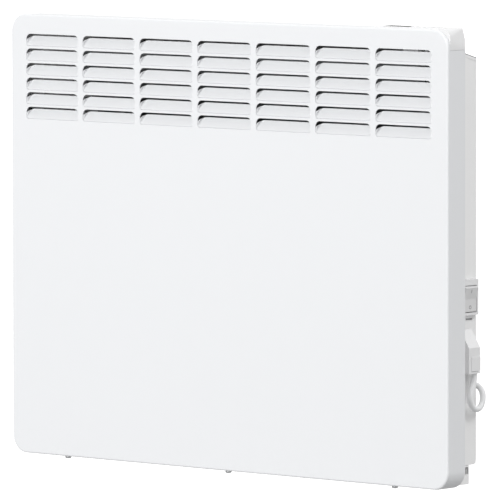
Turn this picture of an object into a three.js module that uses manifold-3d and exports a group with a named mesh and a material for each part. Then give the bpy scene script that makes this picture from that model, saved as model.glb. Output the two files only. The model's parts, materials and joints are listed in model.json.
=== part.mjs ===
// A wall panel convector heater with its wall bracket and mains lead.
// X runs to the right as seen from the front, Y from the front to the wall, and Z up.
// The origin is the middle of the wall bracket's rear face, which lies against the wall.
import * as THREE from 'three';
import { mergeVertices } from 'three/addons/utils/BufferGeometryUtils.js';
import Module from 'manifold-3d';

const wasm = await Module();
wasm.setup();

// ---------- Driving dimensions, in millimetres ----------
const GAP = 0.3; // clearance between pieces that sit on or in each other

// front casing
const CASING_WIDTH = 582;
const CASING_HEIGHT = 450;
const CASING_CORNER = 18;
const CASING_EDGE = 2; // rounding between the front face and the rim
const CASING_SHEET = 1.5;
const RIM_DEPTH = 26;
const LIP_WIDTH = 10; // return lip at the rear of the rim

// depths of the whole heater
const BODY_DEPTH = 70; // front face to the rear of the back box
const WALL_GAP = 30; // rear of the back box to the wall

// louvres of the air outlet
const LOUVRE_COLUMNS = 7;
const LOUVRE_ROWS = 6;
const LOUVRE_MARGIN = 18; // plain strip at each side of the louvres
const LOUVRE_BAR = 6.2; // plain strip between two louvres
const LOUVRE_PITCH_Z = 14.9;
const LOUVRE_HEIGHT = 12.5;
const LOUVRE_DROP = 20; // top of the casing to the first cut
const LOUVRE_DEPTH = 7; // how far in a flap's top edge stands
const LOUVRE_CURVE = 1.5; // how late a flap bends: 1 is a flat flap
const LOUVRE_THROAT = 2.2; // how far a flap ends below its cut
const LOUVRE_SIDE_GAP = 0.4;
const LOUVRE_FLAP = 1;
const LOUVRE_ROOT = 0.6; // how far a flap runs on into the sheet below its slot

// control unit in the top right-hand corner
const CONTROL_LENGTH = 100;
const CONTROL_DROP = 20; // how far it runs down the side
const CONTROL_RISE = 1.5; // how far it stands above the casing
const CONTROL_BAND = 15.5; // its height along the top
const CONTROL_SIDE = 12; // its width down the side
const CONTROL_WALL = 3;
const CONTROL_REAR_CORNER = 5;
const CONTROL_RAMP = 6;
const CONTROL_SETBACK = 2.8; // rim that stays in front of it
const CONTROL_POCKET_WALL = 2.5;
const DISPLAY_LENGTH = 32;
const DISPLAY_INSET = 58; // right-hand end of the display to the casing's side
const DISPLAY_DEPTH = 13;
const DISPLAY_RECESS = 0.5;
const LENS_THICKNESS = 1.5;
const KEY_PITCH = 9.6;
const KEY_INSET = 22.7; // middle of the last key to the casing's side
const KEY_WIDTH = 7.5;
const KEY_DEPTH = 11;
const KEY_TRAVEL = 1;
const KEY_PROUD = 0.4;
const KEY_FLANGE = 0.6;
const KEY_FLANGE_THICKNESS = 1.5;
const BOARD_SHEET = 1.6;
const BOARD_HEIGHT = 5; // control board's top above the unit's underside
const CARRIER_SHEET = 2.2;
const CARRIER_TONGUE_WIDTH = 20;
const CARRIER_TONGUE_LENGTH = 21;
const CARRIER_TONGUE_INSET = 59; // middle of the tongue to the casing's side

// back box
const BOX_INSET = 22.5; // casing's side to the box's side
const BOX_SHEET = 1.2;
const BOX_TOP_DROP = 29.7; // top of the casing to the box's rear top edge
const BOX_TOP_SLOPE = 0.279; // rise of the box's top for each millimetre forward
const BOX_BOTTOM_RISE = 19.6;
const BOX_FOLD = 4;
const FLANGE_PLAY = 0.5; // flange to the inside of the rim
const INLET_MARGIN = 28.5; // box's side to the inlet's end
const INLET_DEPTH = 34;
const TAB_WIDTH = 18;
const TAB_LENGTH = 22;

// grille under the back box
const GRILLE_DEPTH = 33;
const GRILLE_SHEET = 1.5;
const GRILLE_LIFT = 0.6; // its underside above the casing's underside
const GRILLE_SLOTS = 22;
const GRILLE_MARGIN = 37.5; // box's side to the slots
const GRILLE_SLOT_WIDTH = 9;
const GRILLE_SLOT_DEPTH = 24;
const GRILLE_END_SLOT_WIDTH = 5;
const GRILLE_END_SLOT_HEIGHT = 7;

// screws
const BOTTOM_SCREW_INSET = 72.5; // casing's side to the outer screws
const BOTTOM_SCREW_SETBACK = 5.5;
const BOTTOM_SCREW_LENGTH = 12;
const SCREW_SHANK = 1.6;
const SCREW_HEAD = 3.2;
const SCREW_HEAD_HEIGHT = 2.8;
const REAR_SCREW_HEIGHT = 150; // rear screws above and below the middle
const REAR_SCREW_HEAD_HEIGHT = 2;
const REAR_SCREW_LENGTH = 7;

// heat shield and deflector
const SHIELD_PLAY = 5; // its side to the power board's edge
const SHIELD_SETBACK = 10; // front face of the casing to the shield
const SHIELD_SHEET = 1;
const SHIELD_LOW = 30; // bottom of the casing to the shield's lower edge
const SHIELD_TOP = 140; // top of the casing to the shield's upper edge
const DEFLECTOR_SHEET = 1;
const DEFLECTOR_DROP = 26; // deflector's front edge below the casing's top
const DEFLECTOR_RISE = 80; // height of its sloping part
const DEFLECTOR_REACH = 44;
const DEFLECTOR_FOOT = 28;

// heating element
const ELEMENT_HEIGHT = 75; // bottom of the casing to the rod
const ROD_RADIUS = 4;
const ROD_REACH = 12; // rod beyond the shield's side
const CORE_SIZE = 14;
const FIN_COUNT = 28;
const FIN_MARGIN = 15; // shield's side to the last fin's space
const FIN_SHEET = 1.2;
const FIN_DEPTH = 44;
const FIN_HEIGHT = 58;
const BUSH_RADIUS = 6.7;
const BUSH_FLANGE = 10;
const BUSH_LENGTH = 9;
const BUSH_FLANGE_THICKNESS = 3;
const CUTOUT_RADIUS = 8;
const CUTOUT_FLANGE = 11;
const CUTOUT_DEPTH = 7;
const CUTOUT_RISE = 55; // above the rod

// electrics beside the shield
const POWER_BOARD_WIDTH = 28;
const POWER_BOARD_HEIGHT = 120;
const POWER_BOARD_DROP = 75; // top of the casing to its upper edge
const POWER_BOARD_PLAY = 2.3; // its edge to the box's side
const RELAY_SIZE = [20, 16, 28];
const RELAY_DROP = 12; // below the board's upper edge
const TRANSFORMER_SIZE = [22, 22, 30];
const TRANSFORMER_LIFT = 30; // above the board's lower edge
const TERMINAL_SIZE = [22, 18.5, 28];
const TERMINAL_LOW = 85; // bottom of the casing to its lower face
const TERMINAL_PLAY = 5.3; // its side to the box's side
const TERMINAL_SCREWS = 3;
const TERMINAL_SCREW_PITCH = 7;
const TERMINAL_SCREW_RADIUS = 2;
const STUD_RADIUS = 2.5;
const STUD_LENGTH = 13;
const STUD_NUT = 5;
const STUD_NUT_LENGTH = 8.5;
const STUD_DROP = 30; // below the terminal block
const SENSOR_SIZE = [8, 10, 9];
const SENSOR_SLOT_WIDTH = 10;
const SENSOR_SLOT_HEIGHT = 1.8;
const SENSOR_DEPTH = 59; // front face to the sensor's middle
const SENSOR_PLAY = 5.9; // underside of the switch's body to the sensor's middle

// rocker switch
const SWITCH_DEPTH = 56; // front face to its middle
const SWITCH_HEIGHT = 183.7; // bottom of the casing to its middle
const BEZEL_WIDTH = 25;
const BEZEL_HEIGHT = 32;
const BEZEL_PROUD = 4;
const SWITCH_BODY_WIDTH = 21.4;
const SWITCH_BODY_HEIGHT = 28.6;
const SWITCH_BODY_DEPTH = 20;
const SWITCH_WALL = 0.9;
const SWITCH_POCKET_DEPTH = 10;
const ROCKER_CLEARANCE = 0.4;
const ROCKER_TILT = 14; // degrees between its two positions
const ROCKER_FACE = 4; // pivot to the pressed half's face
const ROCKER_AXLE = 1.4;

// cable entry on the box's side
const HOOD_DEPTH = 53.85; // front face to its middle
const HOOD_WIDTH = 17.3;
const HOOD_PROUD = 11.4;
const HOOD_LOW = 110.6; // bottom of the casing to its underside
const HOOD_HEIGHT = 25.8; // its upright face
const HOOD_RISE = 15.4; // its sloping top
const CLAMP_WIDTH = 13;
const CLAMP_HEIGHT = 13.7;
const CLAMP_LIFT = 2.4;
const CLAMP_DEPTH = 8;
const CLAMP_PROUD = 0.5;
const CORD_BORE = 3.3;
const BORE_HEIGHT = 17.4; // bottom of the hood to the bend of its bore

// wall bracket
const BRACKET_SHEET = 2;
const UPRIGHT_INSET = 101; // casing's side to the middle of an upright
const UPRIGHT_WIDTH = 30;
const UPRIGHT_DROP = 35; // top of the casing to the top of the uprights
const ARM_TOP_RISE = 25; // bottom of the casing to the top of the hook arms
const ARM_THICKNESS = 3;
const ARM_WIDTH = 20;
const HOOK_HEIGHT = 10;
const GUSSET_HEIGHT = 15;
const EAR_GAP = 14;
const EAR_DROP = 39; // top of the casing to the top of the ears
const EAR_HEIGHT = 26;
const WALL_SCREW_RADIUS = 3;
const WALL_SCREW_HEIGHTS = [-100, 140];
const CROSSBAR_HEIGHT = 40;
const CROSSBAR_FLANGE = 8;
const CROSSBAR_SLOT_X = 60;
const RAIL_TOP_RISE = 40; // bottom of the casing to the top of the cord rail
const RAIL_SHEET = 1.5;
const RAIL_WEB = 26;
const RAIL_REACH = 28; // wall to the rail's front
const RAIL_LIP = 6.5;

// locking levers
const LATCH_PIVOT_Y = -14;
const LATCH_DROP = 51; // top of the casing to the lever's pin
const LATCH_PIN_RADIUS = 2;
const LATCH_WIDTH = 13;
const LATCH_EYE = 6;
const LATCH_FINGER_REACH = 12; // finger over the box's top
const LATCH_FINGER_THICKNESS = 3.4;

// mains lead
const CORD_DIAMETER = 6;
const CORD_SIDES = 8;
const CORD_SETBACK = 4.1; // hood's outer face to the middle of the cord
const CORD_OFFSET = 4.15; // hood's middle to the middle of the cord
const HANK_X = 125; // middle of the hank
const HANK_Y = -16.5;
const HANK_RUN = 90;
const HANK_HALF_TURNS = 4; // and one more run
const HANK_WIDE = 26.5; // half height of its outermost loop
const HANK_NARROW = 17.5; // half height of its innermost loop
const HANK_LAYER = 6.6; // middle to middle of its two layers
const HANK_WAIST = 12; // how far the tie draws each run in
const HANK_LOWEST = 25.2; // its middle to its lowest point
const TIE_WIDTH = 7;
const TIE_BAND = 1.2;
const PLUG_BACK_X = -16;
const PLUG_LENGTH = 40;
const PLUG_HEIGHT = 34;
const PLUG_THICKNESS = 17;
const PLUG_Y = -15;
const PLUG_SLEEVE_LENGTH = 27.7;
const PLUG_PIN_RADIUS = 2;
const PLUG_PIN_LENGTH = 19;
const PLUG_PIN_PITCH = 9.5;

// wires inside the box
const WIRE_RADIUS = 1.5;
const WIRE_STUB = 6; // straight length at a wire's end
const TAP_SIDE = 6; // middle of the terminal block to the switch's wire
const TAP_DROP = 4;
const TAG_HEIGHT = 7; // middle of the switch to each of its tags
const SOLDER_RISE = 8; // edge of the power board to its first solder point
const SOLDER_SIDE = 9; // middle of the power board to the element's wire

// ---------- Planes and places that follow from them ----------
const SIDE_X = CASING_WIDTH / 2;
const TOP_Z = CASING_HEIGHT / 2;
const BOTTOM_Z = -TOP_Z;
const FRONT_Y = -(BODY_DEPTH + WALL_GAP);
const RIM_REAR_Y = FRONT_Y + RIM_DEPTH;
const LIP_FRONT_Y = RIM_REAR_Y - CASING_SHEET;
const LOUVRE_PITCH_X = (CASING_WIDTH - 2 * LOUVRE_MARGIN) / LOUVRE_COLUMNS;
const LOUVRE_LENGTH = LOUVRE_PITCH_X - LOUVRE_BAR;

const CONTROL_LEFT_X = SIDE_X - CONTROL_LENGTH;
const CONTROL_INNER_X = SIDE_X - CONTROL_SIDE;
const CONTROL_TOP_Z = TOP_Z + CONTROL_RISE;
const CONTROL_UNDER_Z = CONTROL_TOP_Z - CONTROL_BAND;
const CONTROL_LOW_Z = TOP_Z - CONTROL_DROP;
const CONTROL_FRONT_Y = FRONT_Y + CONTROL_SETBACK + GAP;
const POCKET_FRONT_Y = CONTROL_FRONT_Y + CONTROL_POCKET_WALL;
const POCKET_REAR_Y = RIM_REAR_Y - CONTROL_POCKET_WALL;
const POCKET_LEFT_X = CONTROL_LEFT_X + CONTROL_POCKET_WALL;
const POCKET_RIGHT_X = CONTROL_INNER_X - CONTROL_POCKET_WALL;
const POCKET_MIDDLE_Y = (POCKET_FRONT_Y + POCKET_REAR_Y) / 2;
const BOARD_TOP_Z = CONTROL_UNDER_Z + BOARD_HEIGHT;
const DISPLAY_RIGHT_X = SIDE_X - DISPLAY_INSET;

const FLANGE_REAR_Y = LIP_FRONT_Y - GAP;
const FLANGE_FRONT_Y = FLANGE_REAR_Y - BOX_SHEET;
const BOX_X = SIDE_X - BOX_INSET;
const BOX_INNER_X = BOX_X - BOX_SHEET;
const BOX_REAR_Y = -WALL_GAP;
const BOX_INNER_Y = BOX_REAR_Y - BOX_SHEET;
const BOX_BOTTOM_Z = BOTTOM_Z + BOX_BOTTOM_RISE;
const boxTopAt = (y) => TOP_Z - BOX_TOP_DROP + (BOX_REAR_Y - y) * BOX_TOP_SLOPE;

const POWER_BOARD_X = BOX_INNER_X - POWER_BOARD_PLAY - POWER_BOARD_WIDTH / 2;
const POWER_BOARD_LOW_Z = TOP_Z - POWER_BOARD_DROP - POWER_BOARD_HEIGHT;
const SHIELD_X = POWER_BOARD_X - POWER_BOARD_WIDTH / 2 - SHIELD_PLAY;
const SHIELD_Y = FRONT_Y + SHIELD_SETBACK;
const SHIELD_REAR_Y = BOX_INNER_Y - GAP;
const ELEMENT_Y = (SHIELD_Y + SHIELD_SHEET + BOX_INNER_Y) / 2;
const ELEMENT_Z = BOTTOM_Z + ELEMENT_HEIGHT;
const ROD_END_X = SHIELD_X + ROD_REACH;
const FIN_PITCH = (2 * (SHIELD_X - FIN_MARGIN)) / FIN_COUNT;

const FITTED_Y = BOX_INNER_Y - GAP; // rear face of what is fixed inside the box's back
const SWITCH_Y = FRONT_Y + SWITCH_DEPTH;
const SWITCH_Z = BOTTOM_Z + SWITCH_HEIGHT;
const SENSOR_Z = SWITCH_Z - SWITCH_BODY_HEIGHT / 2 - SENSOR_PLAY;
const HOOD_Y = FRONT_Y + HOOD_DEPTH;
const HOOD_LOW_Z = BOTTOM_Z + HOOD_LOW;
const HOOD_X = BOX_X + HOOD_PROUD;

const UPRIGHT_X = SIDE_X - UPRIGHT_INSET;
const UPRIGHT_TOP_Z = TOP_Z - UPRIGHT_DROP;
const RAIL_HALF_LENGTH = UPRIGHT_X + UPRIGHT_WIDTH / 2;
const EAR_TOP_Z = TOP_Z - EAR_DROP;
const LATCH_PIVOT_Z = TOP_Z - LATCH_DROP;
const ARM_TOP_Z = BOTTOM_Z + ARM_TOP_RISE;
const RAIL_TOP_Z = BOTTOM_Z + RAIL_TOP_RISE;
const HANK_Z = RAIL_TOP_Z + GAP + HANK_LOWEST;
const PLUG_Z = RAIL_TOP_Z + GAP + PLUG_HEIGHT / 2;

// The lead's route outside its hank: down out of the hood, once round a small loop beside the box,
// in behind the box to the hank, and from the hank down to the plug.
const CORD_EXIT = [HOOD_X - CORD_SETBACK, HOOD_Y + CORD_OFFSET, HOOD_LOW_Z - GAP];
const hankEnd = (side) => [
  HANK_X + side * (HANK_RUN / 2 + CORD_DIAMETER + GAP),
  HANK_Y - (side * HANK_LAYER) / 2,
  HANK_Z + HANK_WIDE,
];
// The loop, in cord diameters from the exit.
const LEAD_LOOP = [
  [0, 0, 0],
  [0, 0, -0.72],
  [0.03, -0.27, -1.68],
  [0.12, -0.87, -2.68],
  [0.2, -1.27, -3.77],
  [0.2, -1, -4.95],
  [0.13, -0.13, -5.72],
  [0.02, 1, -5.85],
  [-0.13, 2.03, -5.28],
  [-0.32, 2.63, -4.25],
  [-0.75, 2.93, -3.15],
  [-1.63, 3.17, -2.43],
  [-2.88, 3.35, -2.23],
];
// The run behind the box: shares of the way from the hank to the exit, and how far it wanders.
const LEAD_RUN = [
  [0.7, -0.18, 0.55],
  [0.54, -0.07, 0],
  [0.36, -0.02, -0.27],
  [0.18, 0, -0.15],
  [0.06, 0, -0.02],
  [0, 0, 0],
];
// From the hank to the plug: shares of the way along, back and down.
const TAIL_RUN = [
  [0, 0, 0],
  [0.1, 0, 0],
  [0.27, 0.11, 0.09],
  [0.42, 0.33, 0.29],
  [0.54, 0.61, 0.55],
  [0.68, 0.89, 0.81],
  [0.83, 1, 0.97],
  [0.93, 1, 1],
  [1, 1, 1],
];
const LEAD_ROUTE = [
  ...LEAD_LOOP.map((step) => step.map((d, k) => CORD_EXIT[k] + d * CORD_DIAMETER)),
  ...LEAD_RUN.map(([share, back, up]) => {
    const [x, y, z] = hankEnd(1);
    return [x + share * (CORD_EXIT[0] - x), y + back * CORD_DIAMETER, z + up * CORD_DIAMETER];
  }),
];
const PLUG_ENTRY = [PLUG_BACK_X + PLUG_SLEEVE_LENGTH + GAP, PLUG_Y, PLUG_Z];
const TAIL_ROUTE = TAIL_RUN.map((shares) => shares.map((share, k) => {
  const start = hankEnd(-1)[k];
  return start + share * (PLUG_ENTRY[k] - start);
}));

// ---------- Shapes ----------
function block(x0, x1, y0, y1, z0, z1) {
  const geometry = new THREE.BoxGeometry(x1 - x0, y1 - y0, z1 - z0);
  return geometry.translate((x0 + x1) / 2, (y0 + y1) / 2, (z0 + z1) / 2);
}

function blockAt(x, y, z, width, depth, height) {
  return new THREE.BoxGeometry(width, depth, height).translate(x, y, z);
}

const outlineOf = (points) => new THREE.Shape(points.map(([a, b]) => new THREE.Vector2(a, b)));

function prism(shape, length, axes, steps = 6) {
  const settings = { depth: length, bevelEnabled: false, curveSegments: steps };
  const turn = new THREE.Matrix4().makeBasis(...axes.map((axis) => new THREE.Vector3(...axis)));
  return new THREE.ExtrudeGeometry(shape, settings).applyMatrix4(turn);
}

// The shape's points are (y, z), and it runs from x0 to x1.
function prismX(shape, x0, x1, steps) {
  return prism(shape, x1 - x0, [[0, 1, 0], [0, 0, 1], [1, 0, 0]], steps).translate(x0, 0, 0);
}

// The shape's points are (x, z), and it runs from y0 to y1.
function prismY(shape, y0, y1, steps) {
  return prism(shape, y1 - y0, [[1, 0, 0], [0, 0, 1], [0, -1, 0]], steps).translate(0, y1, 0);
}

// The shape's points are (x, y), and it runs from z0 to z1.
function prismZ(shape, z0, z1, steps) {
  return prism(shape, z1 - z0, [[1, 0, 0], [0, 1, 0], [0, 0, 1]], steps).translate(0, 0, z0);
}

function roundedRectangle(x0, x1, z0, z1, radius) {
  const shape = new THREE.Shape();
  shape.moveTo(x0 + radius, z0);
  shape.absarc(x1 - radius, z0 + radius, radius, -Math.PI / 2, 0);
  shape.absarc(x1 - radius, z1 - radius, radius, 0, Math.PI / 2);
  shape.absarc(x0 + radius, z1 - radius, radius, Math.PI / 2, Math.PI);
  shape.absarc(x0 + radius, z0 + radius, radius, Math.PI, 1.5 * Math.PI);
  return shape;
}

function rodX(radius, x0, x1, y, z, sides = 12) {
  const rod = new THREE.CylinderGeometry(radius, radius, x1 - x0, sides).rotateZ(-Math.PI / 2);
  return rod.translate((x0 + x1) / 2, y, z);
}

function rodY(radius, x, y0, y1, z, sides = 12) {
  return new THREE.CylinderGeometry(radius, radius, y1 - y0, sides).translate(x, (y0 + y1) / 2, z);
}

function rodZ(radius, x, y, z0, z1, sides = 12) {
  const rod = new THREE.CylinderGeometry(radius, radius, z1 - z0, sides).rotateX(Math.PI / 2);
  return rod.translate(x, y, (z0 + z1) / 2);
}

function tube(route, radius, sides, steps) {
  const path = new THREE.CatmullRomCurve3(route.map((p) => new THREE.Vector3(...p)), false, 'centripetal');
  const corners = Array.from({ length: sides }, (_, i) => {
    const angle = (2 * Math.PI * i) / sides;
    return [radius * Math.cos(angle), radius * Math.sin(angle)];
  });
  return new THREE.ExtrudeGeometry(outlineOf(corners), { steps, bevelEnabled: false, extrudePath: path });
}

// Closed skin over rings of points, all in one order and with as many points each. A ring's first point
// sees all its others.
function skinOver(rings) {
  const size = rings[0].length;
  const faces = [];
  for (let k = 0; k + 1 < rings.length; k += 1) {
    for (let i = 0; i < size; i += 1) {
      const j = (i + 1) % size;
      faces.push(k * size + i, k * size + j, (k + 1) * size + j);
      faces.push(k * size + i, (k + 1) * size + j, (k + 1) * size + i);
    }
  }
  const last = (rings.length - 1) * size;
  for (let i = 1; i + 1 < size; i += 1) {
    faces.push(0, i + 1, i);
    faces.push(last, last + i, last + i + 1);
  }
  const geometry = new THREE.BufferGeometry();
  geometry.setAttribute('position', new THREE.Float32BufferAttribute(rings.flat(2), 3));
  geometry.setIndex(faces);
  geometry.computeVertexNormals();
  return geometry;
}

function solidOf(geometry) {
  const bare = geometry.clone();
  bare.deleteAttribute('normal');
  bare.deleteAttribute('uv');
  const merged = mergeVertices(bare);
  const vertProperties = new Float32Array(merged.attributes.position.array);
  const triVerts = new Uint32Array(merged.index.array);
  return new wasm.Manifold(new wasm.Mesh({ numProp: 3, vertProperties, triVerts }));
}

function geometryOf(solid) {
  const mesh = solid.getMesh();
  const geometry = new THREE.BufferGeometry();
  geometry.setAttribute('position', new THREE.BufferAttribute(mesh.vertProperties, 3));
  geometry.setIndex(new THREE.BufferAttribute(mesh.triVerts, 1));
  geometry.computeVertexNormals();
  return geometry;
}

function cut(base, ...tools) {
  return geometryOf(tools.reduce((solid, tool) => solid.subtract(solidOf(tool)), solidOf(base)));
}

function join(base, ...others) {
  return geometryOf(others.reduce((solid, other) => solid.add(solidOf(other)), solidOf(base)));
}

const range = (count) => Array.from({ length: count }, (_, i) => i);

// ---------- The assembly ----------
const heater = new THREE.Group();

function addPart(name, geometry, color, roughness, metalness, place = [0, 0, 0]) {
  const material = new THREE.MeshStandardMaterial({ color, roughness, metalness });
  const mesh = new THREE.Mesh(geometry, material);
  mesh.name = name;
  mesh.position.set(...place);
  heater.add(mesh);
}

const ENAMEL = [0xf1f2f4, 0.35, 0];
const BOX_ENAMEL = [0xe2e3e4, 0.45, 0];
const WHITE_PLASTIC = [0xf4f4f2, 0.3, 0];
const GREY_PLASTIC = [0x6c6f72, 0.5, 0];
const ZINC = [0xb9bcbf, 0.4, 0.9];
const STEEL = [0x8d9093, 0.35, 0.9];
const ALUMINIUM = [0xa7a9ab, 0.45, 0.9];
const CERAMIC = [0xe9e3d6, 0.6, 0];
const BOARD_GREEN = [0x2f6b45, 0.5, 0];
const BLACK_PLASTIC = [0x1f2022, 0.4, 0];
const BRASS = [0xc6a560, 0.3, 1];
const CORD_WHITE = [0xe6e7e8, 0.5, 0];

// ---------- Front casing ----------
// One flap: cut free at its top and its two ends, and bent inwards more and more from its foot up.
function louvreFlap() {
  const rise = LOUVRE_HEIGHT - LOUVRE_THROAT;
  const face = [0, 0.4, 0.75, 1].map((share) => [
    LOUVRE_DEPTH * share ** LOUVRE_CURVE,
    share * rise - LOUVRE_HEIGHT,
  ]);
  const root = [[LOUVRE_ROOT / 2, -LOUVRE_HEIGHT - LOUVRE_ROOT], ...face.slice(1)];
  const rear = root.map(([y, z]) => [y + LOUVRE_FLAP, z]).reverse();
  const reach = LOUVRE_LENGTH / 2 - LOUVRE_SIDE_GAP;
  return prismX(outlineOf([...root, ...rear]), -reach, reach);
}

const louvreX = (column) => (column - (LOUVRE_COLUMNS - 1) / 2) * LOUVRE_PITCH_X;
const louvreZ = (row) => TOP_Z - LOUVRE_DROP - row * LOUVRE_PITCH_Z;

function casingShell() {
  const rounding = {
    depth: RIM_DEPTH,
    bevelThickness: CASING_EDGE,
    bevelSize: CASING_EDGE,
    bevelOffset: -CASING_EDGE,
    bevelSegments: 2,
    curveSegments: 6,
  };
  const face = roundedRectangle(-SIDE_X, SIDE_X, BOTTOM_Z, TOP_Z, CASING_CORNER);
  const outer = new THREE.ExtrudeGeometry(face, rounding).rotateX(Math.PI / 2);
  outer.translate(0, FRONT_Y + RIM_DEPTH + CASING_EDGE, 0);
  const t = CASING_SHEET;
  const inside = roundedRectangle(-SIDE_X + t, SIDE_X - t, BOTTOM_Z + t, TOP_Z - t, CASING_CORNER - t);
  const w = LIP_WIDTH;
  const opening = roundedRectangle(-SIDE_X + w, SIDE_X - w, BOTTOM_Z + w, TOP_Z - w, CASING_CORNER - w);
  return cut(
    outer,
    block(-SIDE_X - 1, SIDE_X + 1, RIM_REAR_Y, 0, BOTTOM_Z - 1, TOP_Z + 1),
    prismY(inside, FRONT_Y + t, LIP_FRONT_Y),
    prismY(opening, FRONT_Y + t, RIM_REAR_Y + 1),
  );
}

const rearScrewPlaces = [-1, 1].flatMap((side) => [-1, 1].map((end) => [
  side * (SIDE_X - LIP_WIDTH / 2 - CASING_SHEET / 2),
  end * REAR_SCREW_HEIGHT,
]));
const bottomScrewPlaces = [-1, 0, 1].map((side) => side * (SIDE_X - BOTTOM_SCREW_INSET));
const BOTTOM_SCREW_Y = FRONT_Y + BOTTOM_SCREW_SETBACK;

function frontCasing() {
  const rimCuts = [
    block(CONTROL_LEFT_X - GAP, SIDE_X + 1, FRONT_Y + CONTROL_SETBACK, RIM_REAR_Y + 1,
      CONTROL_UNDER_Z - GAP, TOP_Z + 1),
    block(CONTROL_INNER_X - GAP, SIDE_X + 1, FRONT_Y + CONTROL_SETBACK, RIM_REAR_Y + 1,
      CONTROL_LOW_Z - GAP, TOP_Z + 1),
    ...rearScrewPlaces.map(([x, z]) => rodY(SCREW_SHANK + GAP, x, LIP_FRONT_Y - 1, RIM_REAR_Y + 1, z, 8)),
    ...bottomScrewPlaces.map((x) => rodZ(SCREW_SHANK + GAP, x, BOTTOM_SCREW_Y,
      BOTTOM_Z - 1, BOTTOM_Z + CASING_SHEET + 1, 8)),
  ];
  const slot = blockAt(0, CASING_SHEET / 2, -LOUVRE_HEIGHT / 2,
    LOUVRE_LENGTH, 2 * CASING_SHEET, LOUVRE_HEIGHT);
  const slotSolid = solidOf(slot);
  const flapSolid = solidOf(louvreFlap());
  let casing = solidOf(cut(casingShell(), ...rimCuts));
  for (const row of range(LOUVRE_ROWS)) {
    for (const column of range(LOUVRE_COLUMNS)) {
      const place = [louvreX(column), FRONT_Y, louvreZ(row)];
      casing = casing.subtract(slotSolid.translate(place)).add(flapSolid.translate(place));
    }
  }
  return geometryOf(casing);
}

function screw(headHeight, shankLength) {
  const profile = [
    [0, 0], [SCREW_HEAD - 0.8, 0], [SCREW_HEAD, 0.8], [SCREW_HEAD, headHeight],
    [SCREW_SHANK, headHeight], [SCREW_SHANK, headHeight + shankLength], [0, headHeight + shankLength],
  ];
  return new THREE.LatheGeometry(profile.map(([r, y]) => new THREE.Vector2(r, y)), 10);
}

// ---------- Control unit ----------
// Its corner has the casing's radius in front and a smaller one behind.
function controlOutline(radius, y) {
  const arc = range(7).map((i) => {
    const angle = (Math.PI / 12) * i;
    return [SIDE_X - radius + radius * Math.cos(angle), CONTROL_TOP_Z - radius + radius * Math.sin(angle)];
  });
  const points = [
    [CONTROL_INNER_X, CONTROL_UNDER_Z],
    [CONTROL_INNER_X, CONTROL_LOW_Z],
    [SIDE_X, CONTROL_LOW_Z],
    ...arc,
    [CONTROL_LEFT_X + CONTROL_RAMP, CONTROL_TOP_Z],
    [CONTROL_LEFT_X, CONTROL_TOP_Z - CONTROL_RISE],
    [CONTROL_LEFT_X, CONTROL_UNDER_Z],
  ];
  return points.map(([x, z]) => [x, y, z]);
}

const KEY_NAMES = ['key_menu', 'key_minus', 'key_plus', 'key_ok'];
const keyX = (i) => SIDE_X - KEY_INSET - (KEY_NAMES.length - 1 - i) * KEY_PITCH;

function controlHousing() {
  const wallUnder = CONTROL_TOP_Z - CONTROL_WALL;
  const pocket = block(POCKET_LEFT_X, POCKET_RIGHT_X, POCKET_FRONT_Y, POCKET_REAR_Y,
    CONTROL_UNDER_Z - 1, wallUnder);
  const window = block(DISPLAY_RIGHT_X - DISPLAY_LENGTH, DISPLAY_RIGHT_X,
    POCKET_MIDDLE_Y - DISPLAY_DEPTH / 2, POCKET_MIDDLE_Y + DISPLAY_DEPTH / 2,
    wallUnder - 1, CONTROL_TOP_Z + 1);
  const keyHoles = KEY_NAMES.map((_, i) => blockAt(keyX(i), POCKET_MIDDLE_Y, CONTROL_TOP_Z,
    KEY_WIDTH + 2 * GAP, KEY_DEPTH + 2 * GAP, 4 * CONTROL_WALL));
  const blank = skinOver([
    controlOutline(CONTROL_REAR_CORNER, RIM_REAR_Y),
    controlOutline(CASING_CORNER, CONTROL_FRONT_Y),
  ]);
  return cut(blank, pocket, window, ...keyHoles);
}

function displayLens() {
  const top = CONTROL_TOP_Z - DISPLAY_RECESS;
  return block(DISPLAY_RIGHT_X - DISPLAY_LENGTH + GAP, DISPLAY_RIGHT_X - GAP,
    POCKET_MIDDLE_Y - DISPLAY_DEPTH / 2 + GAP, POCKET_MIDDLE_Y + DISPLAY_DEPTH / 2 - GAP,
    top - LENS_THICKNESS, top);
}

function displayModule() {
  const top = CONTROL_TOP_Z - DISPLAY_RECESS - LENS_THICKNESS - GAP;
  const rim = 1;
  return block(DISPLAY_RIGHT_X - DISPLAY_LENGTH + rim, DISPLAY_RIGHT_X - rim,
    POCKET_MIDDLE_Y - DISPLAY_DEPTH / 2 + rim, POCKET_MIDDLE_Y + DISPLAY_DEPTH / 2 - rim,
    BOARD_TOP_Z + GAP, top);
}

// A key cap with a collar that keeps it under the wall. Its foot rests on the board's switch dome.
function pushKey() {
  const foot = BOARD_TOP_Z + KEY_TRAVEL + GAP - CONTROL_TOP_Z;
  const cap = block(-KEY_WIDTH / 2, KEY_WIDTH / 2, -KEY_DEPTH / 2, KEY_DEPTH / 2, foot, KEY_PROUD);
  const collarTop = -CONTROL_WALL - GAP;
  const collar = block(-KEY_WIDTH / 2 - KEY_FLANGE, KEY_WIDTH / 2 + KEY_FLANGE,
    -KEY_DEPTH / 2 - KEY_FLANGE, KEY_DEPTH / 2 + KEY_FLANGE, collarTop - KEY_FLANGE_THICKNESS, collarTop);
  return join(cap, collar);
}

function controlBoard() {
  return block(POCKET_LEFT_X + GAP, POCKET_RIGHT_X - GAP, POCKET_FRONT_Y + GAP, POCKET_REAR_Y - GAP,
    BOARD_TOP_Z - BOARD_SHEET, BOARD_TOP_Z);
}

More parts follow.
